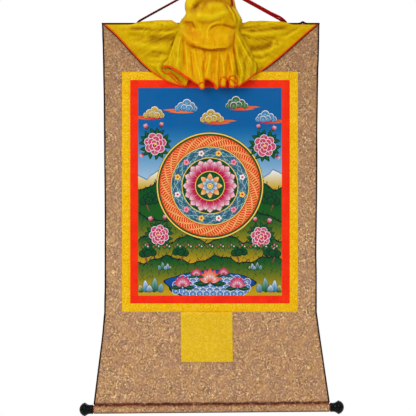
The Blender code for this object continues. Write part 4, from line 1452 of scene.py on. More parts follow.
lacquer = Finish("black_lacquer", 0.22, Specular_IOR_Level=0.14)
lacquer.colour(lacquer.mix(lacquer.noise(9, 3).between(0.4, 0.8), lit(1, 1, 1), lit(6, 5, 5)))
lacquer.relief(lacquer.noise(7, 2), 0.12)
for side, name in ((-1, "left"), (1, "right")):
    corners = [(0.0, 0.0)] + [(along, radius) for along, radius in KNOB_PROFILE] + [(KNOB_LENGTH, 0.0)]
    mesh = bpy.data.meshes.new(f"turned_knob_{name}")
    start = side * (FOOT_WIDTH / 2 + SEAM_GAP)
    mesh.from_pydata(
        [(start + side * along * MM, ROLL_Y, ROLL_Z + radius * MM) for along, radius in corners],
        [(k, k + 1) for k in range(len(corners) - 1)], [],
    )
    knob = bpy.data.objects.new(f"turned_knob_{name}", mesh)
    bpy.context.scene.collection.objects.link(knob)
    bpy.context.view_layer.objects.active = knob
    knob.select_set(True)
    bpy.ops.object.mode_set(mode="EDIT")
    bpy.ops.mesh.select_all(action="SELECT")
    bpy.ops.mesh.spin(
        steps=KNOB_STEPS, angle=2 * math.pi, center=(0, ROLL_Y, ROLL_Z), axis=(1, 0, 0)
    )
    bpy.ops.mesh.select_all(action="SELECT")
    bpy.ops.mesh.remove_doubles(threshold=0.00002)
    bpy.ops.mesh.normals_make_consistent(inside=False)
    bpy.ops.object.mode_set(mode="OBJECT")
    for vertex in knob.data.vertices:
        vertex.co = askew(vertex.co)
    knob.select_set(False)
    knob.data.shade_smooth()
    knob.data.set_sharp_from_angle(angle=math.radians(50))
    knob.data.materials.append(lacquer.material)
    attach(knob, "root")
    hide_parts(f"knob_{name}")

wood = Finish("plain_wood", 0.65)
grain = wood.noise(5, 3, stretch=(0.06, 1, 1))
wood.colour(wood.mix(grain.between(0.3, 0.7), lit(176, 128, 82), lit(128, 84, 48)))
wood.relief(grain, 0.1)
for node in ("top_rod", "bottom_roller"):
    bar = bpy.data.objects[node]
    bar.data.materials.clear()
    bar.data.materials.append(wood.material)

# ---- The veil -------------------------------------------------------------------------------------
# One sheet of thin yellow silk, its hem overlocked in orange thread. It is sewn to the rod's sleeve,
# gathered up over the cord and tucked into itself, and falls in a puff, a pouch and a pleated hem.

VEIL_CLEARANCE = 2.6 * MM
VEIL_SEAM_DEPTH = 1.3 * MM
VEIL_CLOTH = 0.8 * MM


def bump(value, at, width):
    return math.exp(-(((value - at) / width) ** 2))


def read_table(rows, at, column):
    """The value of a column where the first column equals `at`, on a smooth curve through the rows."""
    at = min(max(at, rows[0][0]), rows[-1][0])
    i = max(k for k in range(len(rows) - 1) if rows[k][0] <= at)
    span = rows[i + 1][0] - rows[i][0]
    here, there = rows[i][column], rows[i + 1][column]

    def slope(k):
        before, after = max(k - 1, 0), min(k + 1, len(rows) - 1)
        rise = rows[after][column] - rows[before][column]
        return rise / (rows[after][0] - rows[before][0])

    f = (at - rows[i][0]) / span
    start, end = slope(i) * span, slope(i + 1) * span
    return (
        here * (1 + 2 * f) * (1 - f) ** 2
        + start * f * (1 - f) ** 2
        + there * f * f * (3 - 2 * f)
        + end * f * f * (f - 1)
    )


# The tables of the veil are in mm: x from the scroll's middle, heights below its top edge.
FALL_SECTIONS = (
    # below, left side, right side, depth in the middle, depth at the sides, share of the veil's width
    (-71, -17, 22, 11, 7.5, 0.10),
    (-63, -31, 35, 15, 8, 0.17),
    (-46, -49, 47, 22, 9, 0.25),
    (-30, -52, 51, 30, 10, 0.28),
    (-16, -50, 58, 32, 10, 0.30),
    (-2, -61, 64, 27, 9, 0.32),
    (15, -66, 57, 21, 9, 0.36),
    (35, -72, 68, 21, 8, 0.48),
    (56, -80, 80, 20, 7.5, 0.62),
    (76, -88, 88, 20, 7.5, 0.78),
    (86, -97, 93, 21, 7.5, 0.85),
    (100, -99, 94, 23, 8, 0.86),
    (140, -92, 88, 25, 9, 0.87),
)
BELOW, LEFT, RIGHT, MIDDLE_DEPTH, SIDE_DEPTH, SHARE = range(6)

FALL_HEM = (
    # across the veil (-1 to 1), below
    (-0.85, 93),
    (-0.80, 90),
    (-0.74, 92),
    (-0.64, 97),
    (-0.545, 104),
    (-0.45, 111),
    (-0.373, 116),
    (-0.307, 122.5),
    (-0.215, 129),
    (-0.175, 135),
    (-0.14, 137),
    (-0.115, 134),
    (-0.102, 126),
    (-0.085, 118),
    (-0.05, 117),
    (0.045, 123),
    (0.10, 129),
    (0.125, 137),
    (0.15, 135),
    (0.19, 130),
    (0.26, 133),
    (0.30, 131),
    (0.322, 119),
    (0.350, 119),
    (0.372, 130),
    (0.41, 133.5),
    (0.465, 134),
    (0.51, 130),
    (0.53, 125),
    (0.55, 131),
    (0.58, 130),
    (0.64, 124),
    (0.72, 118),
    (0.79, 110),
    (0.85, 103),
)

PLEATS = (
    # ridge's place across the veil (-1 to 1), strength, sway sideways at the hem
    (-0.90, 0.2, 0.0),
    (-0.72, 0.6, 0.0),
    (-0.56, 0.8, 0.0),
    (-0.36, 0.6, 0.0),
    (-0.14, 1.0, 1.0),
    (-0.01, 0.5, 0.0),
    (0.13, 1.0, 1.0),
    (0.26, 1.0, 1.5),
    (0.43, 1.0, 1.5),
    (0.60, 0.9, 0.0),
    (0.74, 0.6, 0.0),
    (0.90, 0.2, 0.0),
)
PLEAT_START = 22.0
PLEAT_RUN = 85.0
PLEAT_DEPTH = 5.0
SWAY_START = 78.0
SWAY_RUN = 50.0

WING_FOLDS = (
    # angle below the rod as seen from the gather, height of the ridge, its width in degrees
    (3, 5.5, 4.0),
    (24, 5.0, 6.0),
    (41, 3.5, 5.0),
    (58, 2.5, 5.0),
)

POUCH_LIP = (
    # across the veil (-1 to 1), below
    (-0.42, 38),
    (-0.34, 44),
    (-0.19, 52),
    (-0.02, 57),
    (0.10, 55),
    (0.38, 52),
)
POUCH_FADE = 0.14
POUCH_TURN = 13.0
POUCH_FORWARD = 9.0
PUFF_REACH = 0.22
PUFF_FADE = 0.10
PUFF_TOP = -36.0
PUFF_DROOP = 330
PUFF_TURN = 11.0
PUFF_FORWARD = 8.0

# How far across the veil the fall's hem reaches; the last of the cloth is tucked behind it.
LAST_SHARE = 0.85
# By side, -1 for the left and 1 for the right: the corner of the hem that is tucked away, the gather
# that the wing's folds fan out from, and how far the wing's hem bows out.
HIDDEN_CORNERS = {-1: Vector((-51.0, 130.0)), 1: Vector((72.0, 116.0))}
GATHERS = {-1: Vector((-64.0, 14.0)), 1: Vector((55.0, 14.0))}
HEM_BOWS = {-1: 18.0, 1: 6.0}
WING_HUMPS = {
    # share of the veil's half width, how far the cloth is pushed up over the rod
    -1: ((0.30, 12.0), (0.40, 12.5), (0.53, 15.5), (0.66, 16.2), (0.72, 15.5), (0.77, 8.0), (0.83, 0.0)),
    1: ((0.30, 9.0), (0.44, 11.7), (0.52, 14.4), (0.62, 15.4), (0.74, 16.0), (0.79, 9.0), (0.85, 0.0)),
}
UNDERLAP = 8.0
SEAM_INSET = 4.5
SEAM_BELOW = 4.0
# Where across the half width the bunch in the middle ends and the open wing begins.
WING_START = 0.30


def fall_start(share):
    """How far below the top edge the fall begins, for a place this far across the veil."""
    rows = FALL_SECTIONS
    share = max(share, rows[0][SHARE])
    for upper, lower in zip(rows, rows[1:]):
        if share <= lower[SHARE]:
            part = (share - upper[SHARE]) / (lower[SHARE] - upper[SHARE])
            return blend(upper[BELOW], lower[BELOW], part)
    return rows[-1][BELOW]


def fall_share(below):
    """The share of the veil's width that has joined the fall at this height."""
    rows = FALL_SECTIONS
    below = min(max(below, rows[0][BELOW]), rows[-1][BELOW])
    for upper, lower in zip(rows, rows[1:]):
        if below <= lower[BELOW]:
            part = (below - upper[BELOW]) / (lower[BELOW] - upper[BELOW])
            return blend(upper[SHARE], lower[SHARE], part)
    return rows[-1][SHARE]


def pleat_at(across):
    """(height of the pleat from 0 to 1, sideways sway in mm) at this place across the veil."""
    across = min(max(across, PLEATS[0][0]), PLEATS[-1][0] - 1e-6)
    k = max(i for i in range(len(PLEATS) - 1) if PLEATS[i][0] <= across)
    (start, strong, sway), (end, next_strong, next_sway) = PLEATS[k], PLEATS[k + 1]
    share = (across - start) / (end - start)
    turn = 2 * math.pi * share
    height = (0.5 + 0.5 * math.cos(turn)) ** 1.25 * blend(strong, next_strong, share)
    return height, blend(sway, next_sway, share) * math.sin(2 * turn)


def fall_point(across, below, shown=None, pleated=1.0):
    """(x, below, depth). `below` places it across, and `shown` is its height if that differs."""
    left, right = (read_table(FALL_SECTIONS, below, side) for side in (LEFT, RIGHT))
    middle = read_table(FALL_SECTIONS, below, MIDDLE_DEPTH)
    side = read_table(FALL_SECTIONS, below, SIDE_DEPTH)
    place_across = min(max(across / fall_share(below), -1.0), 1.0)
    crown = math.sqrt(max(1.0 - place_across**2, 0.0))
    depth = blend(side, middle, crown)
    loose = ease((below - PLEAT_START) / PLEAT_RUN) * pleated
    pleat, sway = pleat_at(across)
    depth += (pleat - 0.45) * (1.0 + PLEAT_DEPTH * loose) * min(1.0, 3.0 * crown)
    x = (left + right) / 2 + place_across * (right - left) / 2
    x += sway * ease((below - SWAY_START) / SWAY_RUN) * min(1.0, 3.0 * crown)
    return Vector((x, below if shown is None else shown, depth))


def fall_edge(across):
    """Where the fall begins, on its outline, at this place across the veil."""
    return fall_point(across, fall_start(abs(across)))


def fall_outward(across):
    """The direction out of the fall's outline at its edge, seen from the front."""
    a = fall_edge(across - 0.01)
    b = fall_edge(across + 0.01)
    along = Vector((b.x - a.x, -(b.y - a.y)))
    if along.length < 1e-6:
        return Vector((0.0, 1.0))
    along.normalize()
    return Vector((-along.y, along.x))


def pouch_fold(across):
    """The height at which the pouch's cloth turns, and how fully it turns here (0 to 1)."""
    ends = POUCH_LIP[0][0], POUCH_LIP[-1][0]
    inside = min(across - ends[0], ends[1] - across)
    return read_table(POUCH_LIP, across, 1) - POUCH_TURN, ease(inside / POUCH_FADE)


def fall_stations(across, steps):
    """Heights down the fall, closest together where the cloth doubles over."""
    start = fall_start(abs(across))
    hem = read_table(FALL_HEM, across, 1)
    fold = pouch_fold(across)[0]
    knee = max(fold - 14, blend(start, hem, 0.4))
    ankle = max(fold + 24, blend(start, hem, 0.75))
    last_above, last_folded = round(0.46 * steps), round(0.78 * steps)
    above = spaced(start, knee, last_above)
    folded = spaced(knee, ankle, last_folded - last_above)
    return above + folded[1:] + spaced(ankle, hem, steps - last_folded)[1:]


def turn_over(below, at, reach):
    """How far cloth at this height is carried down: it runs past a fold at `at` and comes back up."""
    half = reach / 2
    return reach * (bump(below, at, half) - bump(below, at + reach, half))


def fall_column(across, steps):
    """The front of the veil, fold to hem. A puff turns over high up, and a pouch hangs below it."""
    fold, pouch = pouch_fold(across)
    puff = ease((PUFF_REACH - abs(across)) / PUFF_FADE)
    puff_fold = PUFF_TOP + PUFF_DROOP * across**2 - PUFF_TURN / 2
    points = []
    for below in fall_stations(across, steps):
        carried = turn_over(below, fold, POUCH_TURN) * pouch
        carried += turn_over(below, puff_fold, PUFF_TURN) * puff
        hanging = 1 - pouch * (1 - ease((below - fold) / 12))
        point = fall_point(across, below, below + carried, hanging)
        swell = bump(below, fold - 3, POUCH_TURN) - 0.45 * bump(below, fold + 15, 7)
        point.z += POUCH_FORWARD * swell * pouch
        point.z -= PUFF_FORWARD * bump(below, puff_fold - 2, 9) * puff
        points.append(point)
    return points


def under_edge(across):
    """Where the back layer ends, tucked under the edge of the fall."""
    share = abs(across)
    edge = fall_edge(math.copysign(min(share, LAST_SHARE), across))
    outward = fall_outward(math.copysign(min(share, LAST_SHARE - 0.02), across))
    tucked = edge.xy + UNDERLAP * Vector((-outward.x, outward.y))
    if share > LAST_SHARE:
        corner = HIDDEN_CORNERS[1 if across > 0 else -1]
        tucked = tucked.lerp(corner, (share - LAST_SHARE) / (1 - LAST_SHARE))
    return tucked


def wing_relief(x, below, side):
    """The height of the folds that fan out from the gather."""
    gather = GATHERS[side]
    run = Vector((abs(x - gather.x), below - gather.y))
    if run.length < 1:
        return 0.0
    angle = math.degrees(math.atan2(run.y, run.x))
    kept = ease(run.length / 45) * ease((150 - run.length) / 110)
    folds = sum(high * bump(angle, at, wide) for at, high, wide in WING_FOLDS)
    return folds * kept


def back_column(across, steps):
    """From the seam on the rod to the tuck: out along the wing, or up behind the bunch."""
    share = abs(across)
    side = -1 if across < 0 else 1
    seam = Vector((across * (TOP_WIDTH / MM / 2 - SEAM_INSET), SEAM_BELOW))
    tuck = under_edge(across)
    winged = ease((share - WING_START) / 0.10)
    bow = HEM_BOWS[side] * ease((share - 0.55) / 0.45)
    hump = read_table(WING_HUMPS[side], share, 1) * winged
    chord = tuck - seam
    square = Vector((-chord.y, chord.x)).normalized() * -side
    points = []
    for i in range(steps + 1):
        v = i / steps
        place = seam + chord * v + square * bow * 6.75 * v * v * (1 - v)
        place.y -= hump * math.sin(math.pi * min(1.0, 2.6 * v))
        relief = wing_relief(place.x, place.y, side) * winged * ease(3 * v) * ease((1 - v) * 4)
        depth = blend(VEIL_SEAM_DEPTH, VEIL_CLEARANCE, ease(5 * v)) / MM
        points.append(Vector((place.x, place.y, depth + relief + 0.4 * v)))
    return points


def veil_column(across, wing_steps, fall_steps):
    """All the points of one place across the veil, from the rod to the free hem."""
    share = abs(across)
    back = back_column(across, wing_steps)
    shown = math.copysign(min(share, LAST_SHARE), across)
    front = fall_column(shown, fall_steps)
    outward = fall_outward(math.copysign(min(share, LAST_SHARE - 0.02), across))
    out = Vector((outward.x, -outward.y, 0.0))
    first = front[0]
    tuck = back[-1]
    turned = min(1.0, max(0.0, (share - WING_START) / 0.08))
    inner = Vector((tuck.x, tuck.y, tuck.z + 1.6)) - out * 1.2 * turned
    behind = first - out * 1.0
    behind.z = blend(tuck.z + 1.5, tuck.z + 3.4, turned)
    outer = first + out * 0.8
    outer.z = (behind.z + first.z) / 2
    column = [*back, inner, behind, outer, *front]
    if share > LAST_SHARE:
        hidden = ease((share - LAST_SHARE) / (1 - LAST_SHARE))
        rest = column[len(back):]
        up = Vector((5.0 if across < 0 else -5.0, -11.0, 0.0))
        for k, point in enumerate(rest):
            f = k / (len(rest) - 1)
            end = tuck + up * f
            end.z = tuck.z + 4.0 * ease(2.5 * f)
            column[len(back) + k] = point.lerp(end, hidden)
    return column


# A ridge is soft on both sides, and a valley is a ridge with a height below 0. A lip drops sharply on
# one side of its line.
FRONT_FOLDS = (
    # kind, height, width, darkness in its hollow (or light on it, below 0), points (x, below)
    ("ridge", 0.5, 6, -1.2, ((-52, -46), (-44, -42), (-30, -44))),
    ("ridge", 0.5, 5, -0.7, ((-50, -34), (-42, -32), (-36, -34))),
    ("ridge", -1.6, 5, 0.75,
     ((-46, -16), (-34, -29), (-19, -38), (2, -41), (21, -41), (35, -37), (44, -27), (51, -14))),
    ("ridge", -0.8, 9, 0.5, ((-42, -22), (-30, -24), (-20, -30))),
    ("ridge", 0.6, 2.4, 0.8, ((-9, -36), (-14, -29), (-20, -21))),
    ("ridge", 2.0, 6, -0.7, ((-6, -30), (12, -32), (28, -30))),
    ("ridge", 3.0, 6, -1.3, ((-36, -11), (-24, -10), (-10, -8), (4, -6), (15, -10), (31, -17), (39, -22))),
    ("ridge", -2.0, 4, 0.6, ((-34, 1), (-16, 3), (-1, 3), (12, -1), (25, -8), (36, -15))),
    ("ridge", 1.6, 4, -0.5, ((-36, -2), (-24, 6), (-16, 22), (-13, 38))),
    ("lip", 2.0, 9, 0.4, ((-30, 16), (-37, 2), (-51, 1), (-61, 1))),
    ("ridge", -1.2, 8, 0.55, ((-54, 8), (-42, 8), (-36, 16))),
    ("ridge", -0.6, 1.4, 0.9, ((-56, 0), (-38, 1), (-30, 16))),
    ("ridge", -0.5, 7, 0.3, ((-46, 18), (-34, 30), (-24, 42))),
    ("lip", 1.4, 8, 0.15, ((3, 53), (-10, 44), (-22, 29), (-30, 16))),
    ("lip", 2.6, 8, 1.2, ((52, 13), (38, 9), (22, 5))),
    ("ridge", -0.8, 1.8, 1.3, ((24, 5), (31, 7.5), (41, 10.5))),
    ("lip", 1.8, 7, 0.3, ((22, 5), (7, 7), (-1, 13), (-5, 21))),
    ("ridge", -0.6, 1.6, 0.8, ((25, 7.5), (15, 7), (5, 10.5), (-1.5, 16))),
    ("ridge", 1.2, 1.7, -1.0, ((25, 3), (12, 2.5), (0, 8), (-6, 17), (-7.5, 26), (-5, 35), (1, 40))),
    ("ridge", 1.6, 8, -0.35, ((12, 26), (28, 28), (40, 34))),
    ("ridge", 2.0, 1.8, -0.9, ((34, -36), (46, -16), (52, 2))),
    ("ridge", -1.6, 1.7, 0.6, ((38, -34), (50, -14), (56, 4))),
    ("ridge", 2.0, 1.8, -0.9, ((43, -32), (56, -12), (61, 3))),
    ("ridge", -1.4, 1.6, 0.5, ((30, -32), (40, -18), (48, 4))),
    ("ridge", 1.2, 3, -0.6, ((-52, -22), (-44, -14), (-50, -6))),
    ("ridge", -0.6, 1.8, 1.1, ((49, 16), (47, 38), (46, 54), (50, 72))),
    ("ridge", 0.9, 1.8, -0.7, ((-56, 24), (-49, 31), (-38, 42), (-25, 48), (-6, 53), (12, 54), (36, 52))),
    ("ridge", 0.0, 1.9, 1.2, ((-60, 24), (-53, 33), (-41, 45.5), (-26, 53), (-6, 58), (12, 59), (36, 57))),
    ("ridge", 2.4, 1.8, -1.0, ((-62, 26), (-66, 62), (-71, 98))),
    ("ridge", 2.2, 2.0, -0.8, ((-70, 24), (-78, 55), (-88, 84))),
    ("ridge", -2.4, 2.2, 0.5, ((-57, 27), (-54, 70), (-53, 101))),
    ("ridge", 2.2, 1.9, -0.9, ((-51, 48), (-48, 85), (-46, 113))),
    ("ridge", -2.2, 2.0, 0.45, ((-41, 55), (-38, 85), (-35, 112))),
    ("ridge", 2.2, 1.9, -0.9, ((-34, 52), (-28, 90), (-20, 126))),
    ("ridge", 1.8, 1.4, -0.4, ((-25, 60), (-22, 90), (-15, 120))),
    ("ridge", -1.8, 2.0, 0.35, ((-18, 62), (-15, 84), (-13, 108))),
    ("ridge", 2.4, 3.0, -0.8, ((1, 60), (-3, 86), (-11, 118))),
    ("ridge", -1.6, 2.0, 0.35, ((10, 62), (7, 85), (6, 110))),
    ("ridge", 2.2, 1.8, -0.9, ((21, 60), (25, 86), (28, 110))),
    ("ridge", 1.6, 1.4, -0.4, ((15, 62), (15, 90), (18, 120))),
    ("ridge", -2.2, 1.8, 0.6, ((35, 60), (38, 84), (41, 106))),
    ("ridge", 2.2, 1.9, -0.9, ((38, 60), (42, 86), (46, 109))),
    ("ridge", -3.0, 2.2, 1.0, ((46, 48), (51, 80), (57, 117))),
    ("ridge", 3.0, 2.0, -1.0, ((50, 46), (59, 84), (69, 118))),
    ("ridge", -2.2, 2.4, 0.35, ((56, 44), (66, 76), (74, 104))),
    ("ridge", 3.0, 2.2, -1.0, ((52, 22), (66, 52), (83, 82), (88, 96))),
    ("ridge", -1.8, 2.0, 0.4, ((60, 32), (74, 58), (88, 80))),
)
WING_CREASES = (
    # kind, height, width, darkness in its hollow (or light on it, below 0), points (x, below)
    ("ridge", 2.2, 3, -0.9, ((-120, 1), (-95, 1), (-72, 3))),
    ("ridge", 1.6, 2, -0.9, ((-100, 3), (-84, 5), (-66, 10))),
    ("ridge", -1.8, 2, 0.9, ((-90, 2), (-80, 6), (-66, 11))),
    ("ridge", 2.4, 4, -0.7, ((-195, 6), (-150, 7), (-96, 7))),
    ("ridge", -3.6, 4, 1.0, ((-170, 11), (-120, 16), (-92, 16), (-66, 13))),
    ("ridge", 3.4, 4, -1.1, ((-62, 17), (-90, 21), (-120, 22), (-155, 17))),
    ("ridge", -1.6, 4, 0.4, ((-172, 22), (-140, 28), (-120, 30))),
    ("ridge", -4.6, 7, 1.0, ((-66, 30), (-92, 33), (-130, 31))),
    ("ridge", -1.6, 3.5, 1.2, ((-67, 29), (-73, 40), (-80, 50))),
    ("ridge", 3.4, 7, -0.8, ((-84, 50), (-112, 53), (-152, 44))),
    ("ridge", -1.2, 5, 0.4, ((-156, 32), (-126, 42), (-100, 44))),
    ("ridge", -2.6, 3, 0.8, ((-88, 64), (-104, 62), (-124, 59))),
    ("ridge", -1.4, 6, 0.45, ((-100, 72), (-116, 70), (-132, 68))),
    ("ridge", 2.2, 4, -0.8, ((-82, 70), (-104, 76), (-128, 74))),
    ("ridge", 1.6, 2.5, -0.9, ((-128, 84), (-112, 88), (-98, 84))),
    ("ridge", -1.6, 3, 0.5, ((-78, 60), (-92, 84), (-102, 96))),
    ("ridge", 1.6, 2.5, -0.8, ((-104, 80), (-108, 96), (-98, 110))),
    ("ridge", -1.2, 2.5, 0.5, ((-118, 92), (-108, 102), (-96, 116))),
    ("ridge", 1.8, 2.4, -0.9, ((62, 8), (90, 5), (122, 0), (150, 2))),
    ("ridge", -2.4, 2.6, 0.9, ((60, 12), (86, 9), (108, 5))),
    ("ridge", -3.2, 3.4, 0.9, ((74, 18), (112, 15), (160, 10))),
    ("ridge", 3.4, 4, -1.1, ((60, 20), (84, 24), (112, 24), (152, 19))),
    ("ridge", -0.8, 2.2, 1.3, ((64, 24), (72, 28), (82, 34))),
    ("ridge", -2.8, 5, 0.6, ((86, 34), (112, 33), (140, 30))),
    ("ridge", -4.6, 6, 1.1, ((76, 50), (92, 54), (112, 50), (134, 40))),
    ("ridge", 2.8, 5, -0.8, ((80, 62), (104, 64), (128, 54), (150, 42))),
    ("ridge", 2.0, 3, -0.9, ((82, 74), (100, 80), (116, 76))),
    ("ridge", -1.8, 3, 0.6, ((84, 68), (104, 72), (122, 66))),
    ("ridge", -1.8, 2, 0.9, ((136, 34), (137, 44), (140, 50))),
    ("ridge", 1.6, 2.4, -0.8, ((126, 60), (128, 46), (131, 36))),
    ("ridge", 1.4, 3, -0.7, ((150, 36), (170, 22), (188, 10))),
    ("ridge", -1.2, 3, 0.5, ((150, 26), (168, 17), (184, 9))),
    ("ridge", -1.2, 4, 0.6, ((90, 94), (100, 98), (108, 92))),
)


def eased(values):
    """As ease(), for many values at once."""
    values = np.clip(values, 0.0, 1.0)
    return values * values * (3.0 - 2.0 * values)


def creased(x, below, folds):
    """(height of the folds, from -1 where light to 1 in a dark hollow) at many places."""
    height, hollow = np.zeros(x.shape), np.zeros(x.shape)
    for kind, high, wide, dark, points in folds:
        nearest = np.full(x.shape, 1e9)
        signed, along = np.zeros(x.shape), np.zeros(x.shape)
        run = 0.0
        for (ax, az), (bx, bz) in zip(points, points[1:]):
            length = math.hypot(bx - ax, bz - az)
            ux, uz = (bx - ax) / length, (bz - az) / length
            share = np.clip((x - ax) * ux + (below - az) * uz, 0.0, length)
            off_x, off_z = x - ax - share * ux, below - az - share * uz
            gap = np.hypot(off_x, off_z)
            closer = gap < nearest
            side = np.where(ux * (below - az) - uz * (x - ax) > 0, 1.0, -1.0)
            signed = np.where(closer, gap * side, signed)
            along = np.where(closer, run + share, along)
            nearest = np.minimum(nearest, gap)
            run += length
        kept = eased(np.minimum(along, run - along) / (0.22 * run) + 0.12)
        if kind == "ridge":
            shape = np.exp(-((signed / wide) ** 2))
            height += high * kept * shape
            hollow += dark * kept * shape
        else:
            fall_off = np.exp(-np.maximum(signed, 0.0) / wide)
            height += high * kept * fall_off * eased((signed + 0.9) / 1.3)
            shade = np.exp(-(((signed + 1.2) / 2.0) ** 2))
            hollow += dark * kept * shade
    return height, np.clip(hollow, -1.0, 1.0)


VEIL_COLUMNS = 260
WING_STEPS = 34
FALL_STEPS = 112
CRUMPLE = 0.4
CRUMPLE_SHADE = 0.25
WING_CRUMPLE = 1.3
STREAK = 0.9
STREAK_SHADE = 0.55
STREAK_RISE = 25
LEAST_DEPTH = 1.2
# The fall is a warmer yellow down its middle: the place's x, half its width and its soft edge, in mm.
WARM_X = -3.5
WARM_HALF = 60.0
WARM_BLUR = 14.0
# Crumples are sums of soft random swells: height, size across, size down, a number for the pattern.
FRONT_CRUMPLES = ((1.0, 5.5, 16, 3.0), (0.5, 2.6, 7, 9.0))
WING_CRUMPLES = ((1.0, 13, 7, 5.0), (0.6, 5, 4, 7.0))
# The same for the streaks that fan out from a gather, by angle in degrees and distance.
FAN_STREAKS = ((1.0, 3.2, 60, 2.0), (0.6, 1.5, 34, 4.0))


def crumpled(grid, swells):
    """The height of soft random crumples at each (across, down) of a grid."""
    return np.array([
        [
            sum(high * noise.noise((u / wide, v / tall, pattern)) for high, wide, tall, pattern in swells)
            for u, v in line
        ]
        for line in grid
    ])


columns = [veil_column(across, WING_STEPS, FALL_STEPS) for across in spaced(-1.0, 1.0, VEIL_COLUMNS)]
veil_grid = np.array([[tuple(point) for point in column] for column in columns])
is_wing = np.zeros(veil_grid.shape[:2], bool)
is_wing[:, :WING_STEPS + 1] = True
x, below = veil_grid[..., 0], veil_grid[..., 1]
front_high, front_dark = creased(x, below, FRONT_FOLDS)
wing_high, wing_dark = creased(x, below, WING_CREASES)
crumples = crumpled(veil_grid[..., :2], FRONT_CRUMPLES)
wing_crumples = crumpled(veil_grid[:, :WING_STEPS + 1, :2], WING_CRUMPLES)
crumples[:, :WING_STEPS + 1] = WING_CRUMPLE * wing_crumples
streaks = np.zeros(x.shape)
for side, gather in GATHERS.items():
    reach = np.hypot(x - gather.x, below - gather.y)
    angle = np.degrees(np.arctan2(below - gather.y, side * (x - gather.x)))
    fan = crumpled(np.dstack((angle, reach)), FAN_STREAKS)
    streaks += np.where(side * x > 0, fan * eased(reach / STREAK_RISE), 0.0)
seam_share = np.ones(veil_grid.shape[1])
seam_share[:WING_STEPS + 1] = eased(np.linspace(0.0, 5.0, WING_STEPS + 1))
high = np.where(is_wing, wing_high - STREAK * streaks, front_high) + CRUMPLE * crumples
veil_grid[..., 2] = np.maximum(veil_grid[..., 2] + high * seam_share, LEAST_DEPTH)
dark = np.where(is_wing, wing_dark + STREAK_SHADE * streaks, front_dark + CRUMPLE_SHADE * crumples)
central = eased((WARM_HALF - np.abs(x - WARM_X)) / WARM_BLUR)
warm = np.where(is_wing, 0.0, (0.35 + 0.65 * eased((below + 10) / 50)) * central)

rows = []
for k in range(veil_grid.shape[1]):
    rows.append([
        Vector((x * MM, GROUND_Y - depth * MM, TOP_Z - below * MM)) for x, below, depth in veil_grid[:, k]
    ])
rows.reverse()

veil_finish = Finish(
    "yellow_silk", 0.42, Specular_IOR_Level=0.5, Specular_Tint=(1.0, 0.82, 0.08, 1.0)
)
fold_shade = veil_finish.stored("hollow")
warmth = veil_finish.stored("warm")
slub = veil_finish.noise(3.2, 3, stretch=(1, 1, 2.5))
crinkle = veil_finish.noise(8, 4, stretch=(1.6, 1, 1))
wing_yellow = veil_finish.mix(slub.between(0.3, 0.7), lit(202, 155, 0), lit(214, 174, 0))
fall_yellow = veil_finish.mix(slub.between(0.3, 0.7), lit(220, 150, 0), lit(236, 176, 0))
silk = veil_finish.mix(warmth, wing_yellow, fall_yellow)
hollow_colour = veil_finish.mix(warmth.between(0.2, 0.8), lit(140, 84, 0), lit(200, 76, 0))
dimmed = veil_finish.mix(crinkle.between(0.5, 0.3) * 0.3, silk, lit(170, 112, 0))
shaded = veil_finish.mix(fold_shade.between(0.0, 1.0) * 0.85, dimmed, hollow_colour)
lighted = veil_finish.mix(fold_shade.between(0.0, -1.0) * 0.75, shaded, lit(236, 204, 14))
veil_finish.colour(lighted)
veil_finish.relief(veil_finish.noise(6, 3, stretch=(1, 1, 0.6)) * 0.7 + slub * 0.3, 0.5, 0.6)

veil = woven("silk_veil", rows, VEIL_CLOTH, veil_finish.material, edge=0.2 * MM, even=False)
# Each point of the finished cloth takes its shade from the nearest point that it was made from.
source = KDTree(len(rows) * len(rows[0]))
values = []
for k, row in enumerate(rows):
    for j, point in enumerate(row):
        source.insert(point, len(values))
        values.append((dark[j, len(rows) - 1 - k], warm[j, len(rows) - 1 - k]))
source.balance()
hollow_values = veil.data.attributes.new("hollow", "FLOAT", "POINT")
warm_values = veil.data.attributes.new("warm", "FLOAT", "POINT")
for vertex in veil.data.vertices:
    index = source.find(vertex.co)[1]
    hollow_values.data[vertex.index].value = values[index][0]
    warm_values.data[vertex.index].value = values[index][1]

thread = Finish("orange_overlock", 0.75, Specular_IOR_Level=0.15)
thread_twist = thread.stored("twist")
thread.colour(thread.mix(thread_twist.between(0.2, 0.9), lit(214, 52, 0), lit(240, 98, 4)))

# A thin dark cord laid under each wing's hem is the hem's painted shadow, mottled dark brown.
hem_shadow_cord = Finish("painted_hem_shadow", 0.8, Specular_IOR_Level=0.1)
shadow_mottle = hem_shadow_cord.noise(3).between(0.4, 0.7)
hem_shadow_cord.colour(hem_shadow_cord.mix(shadow_mottle, lit(92, 20, 4), lit(54, 10, 4)))

HEM_RADIUS = 1.6 * MM
HEM_LAY = 3.2 * MM
TURN_RADIUS = 1.2 * MM
UNDER_RADIUS = 0.9 * MM
UNDER_LAY = 4 * MM
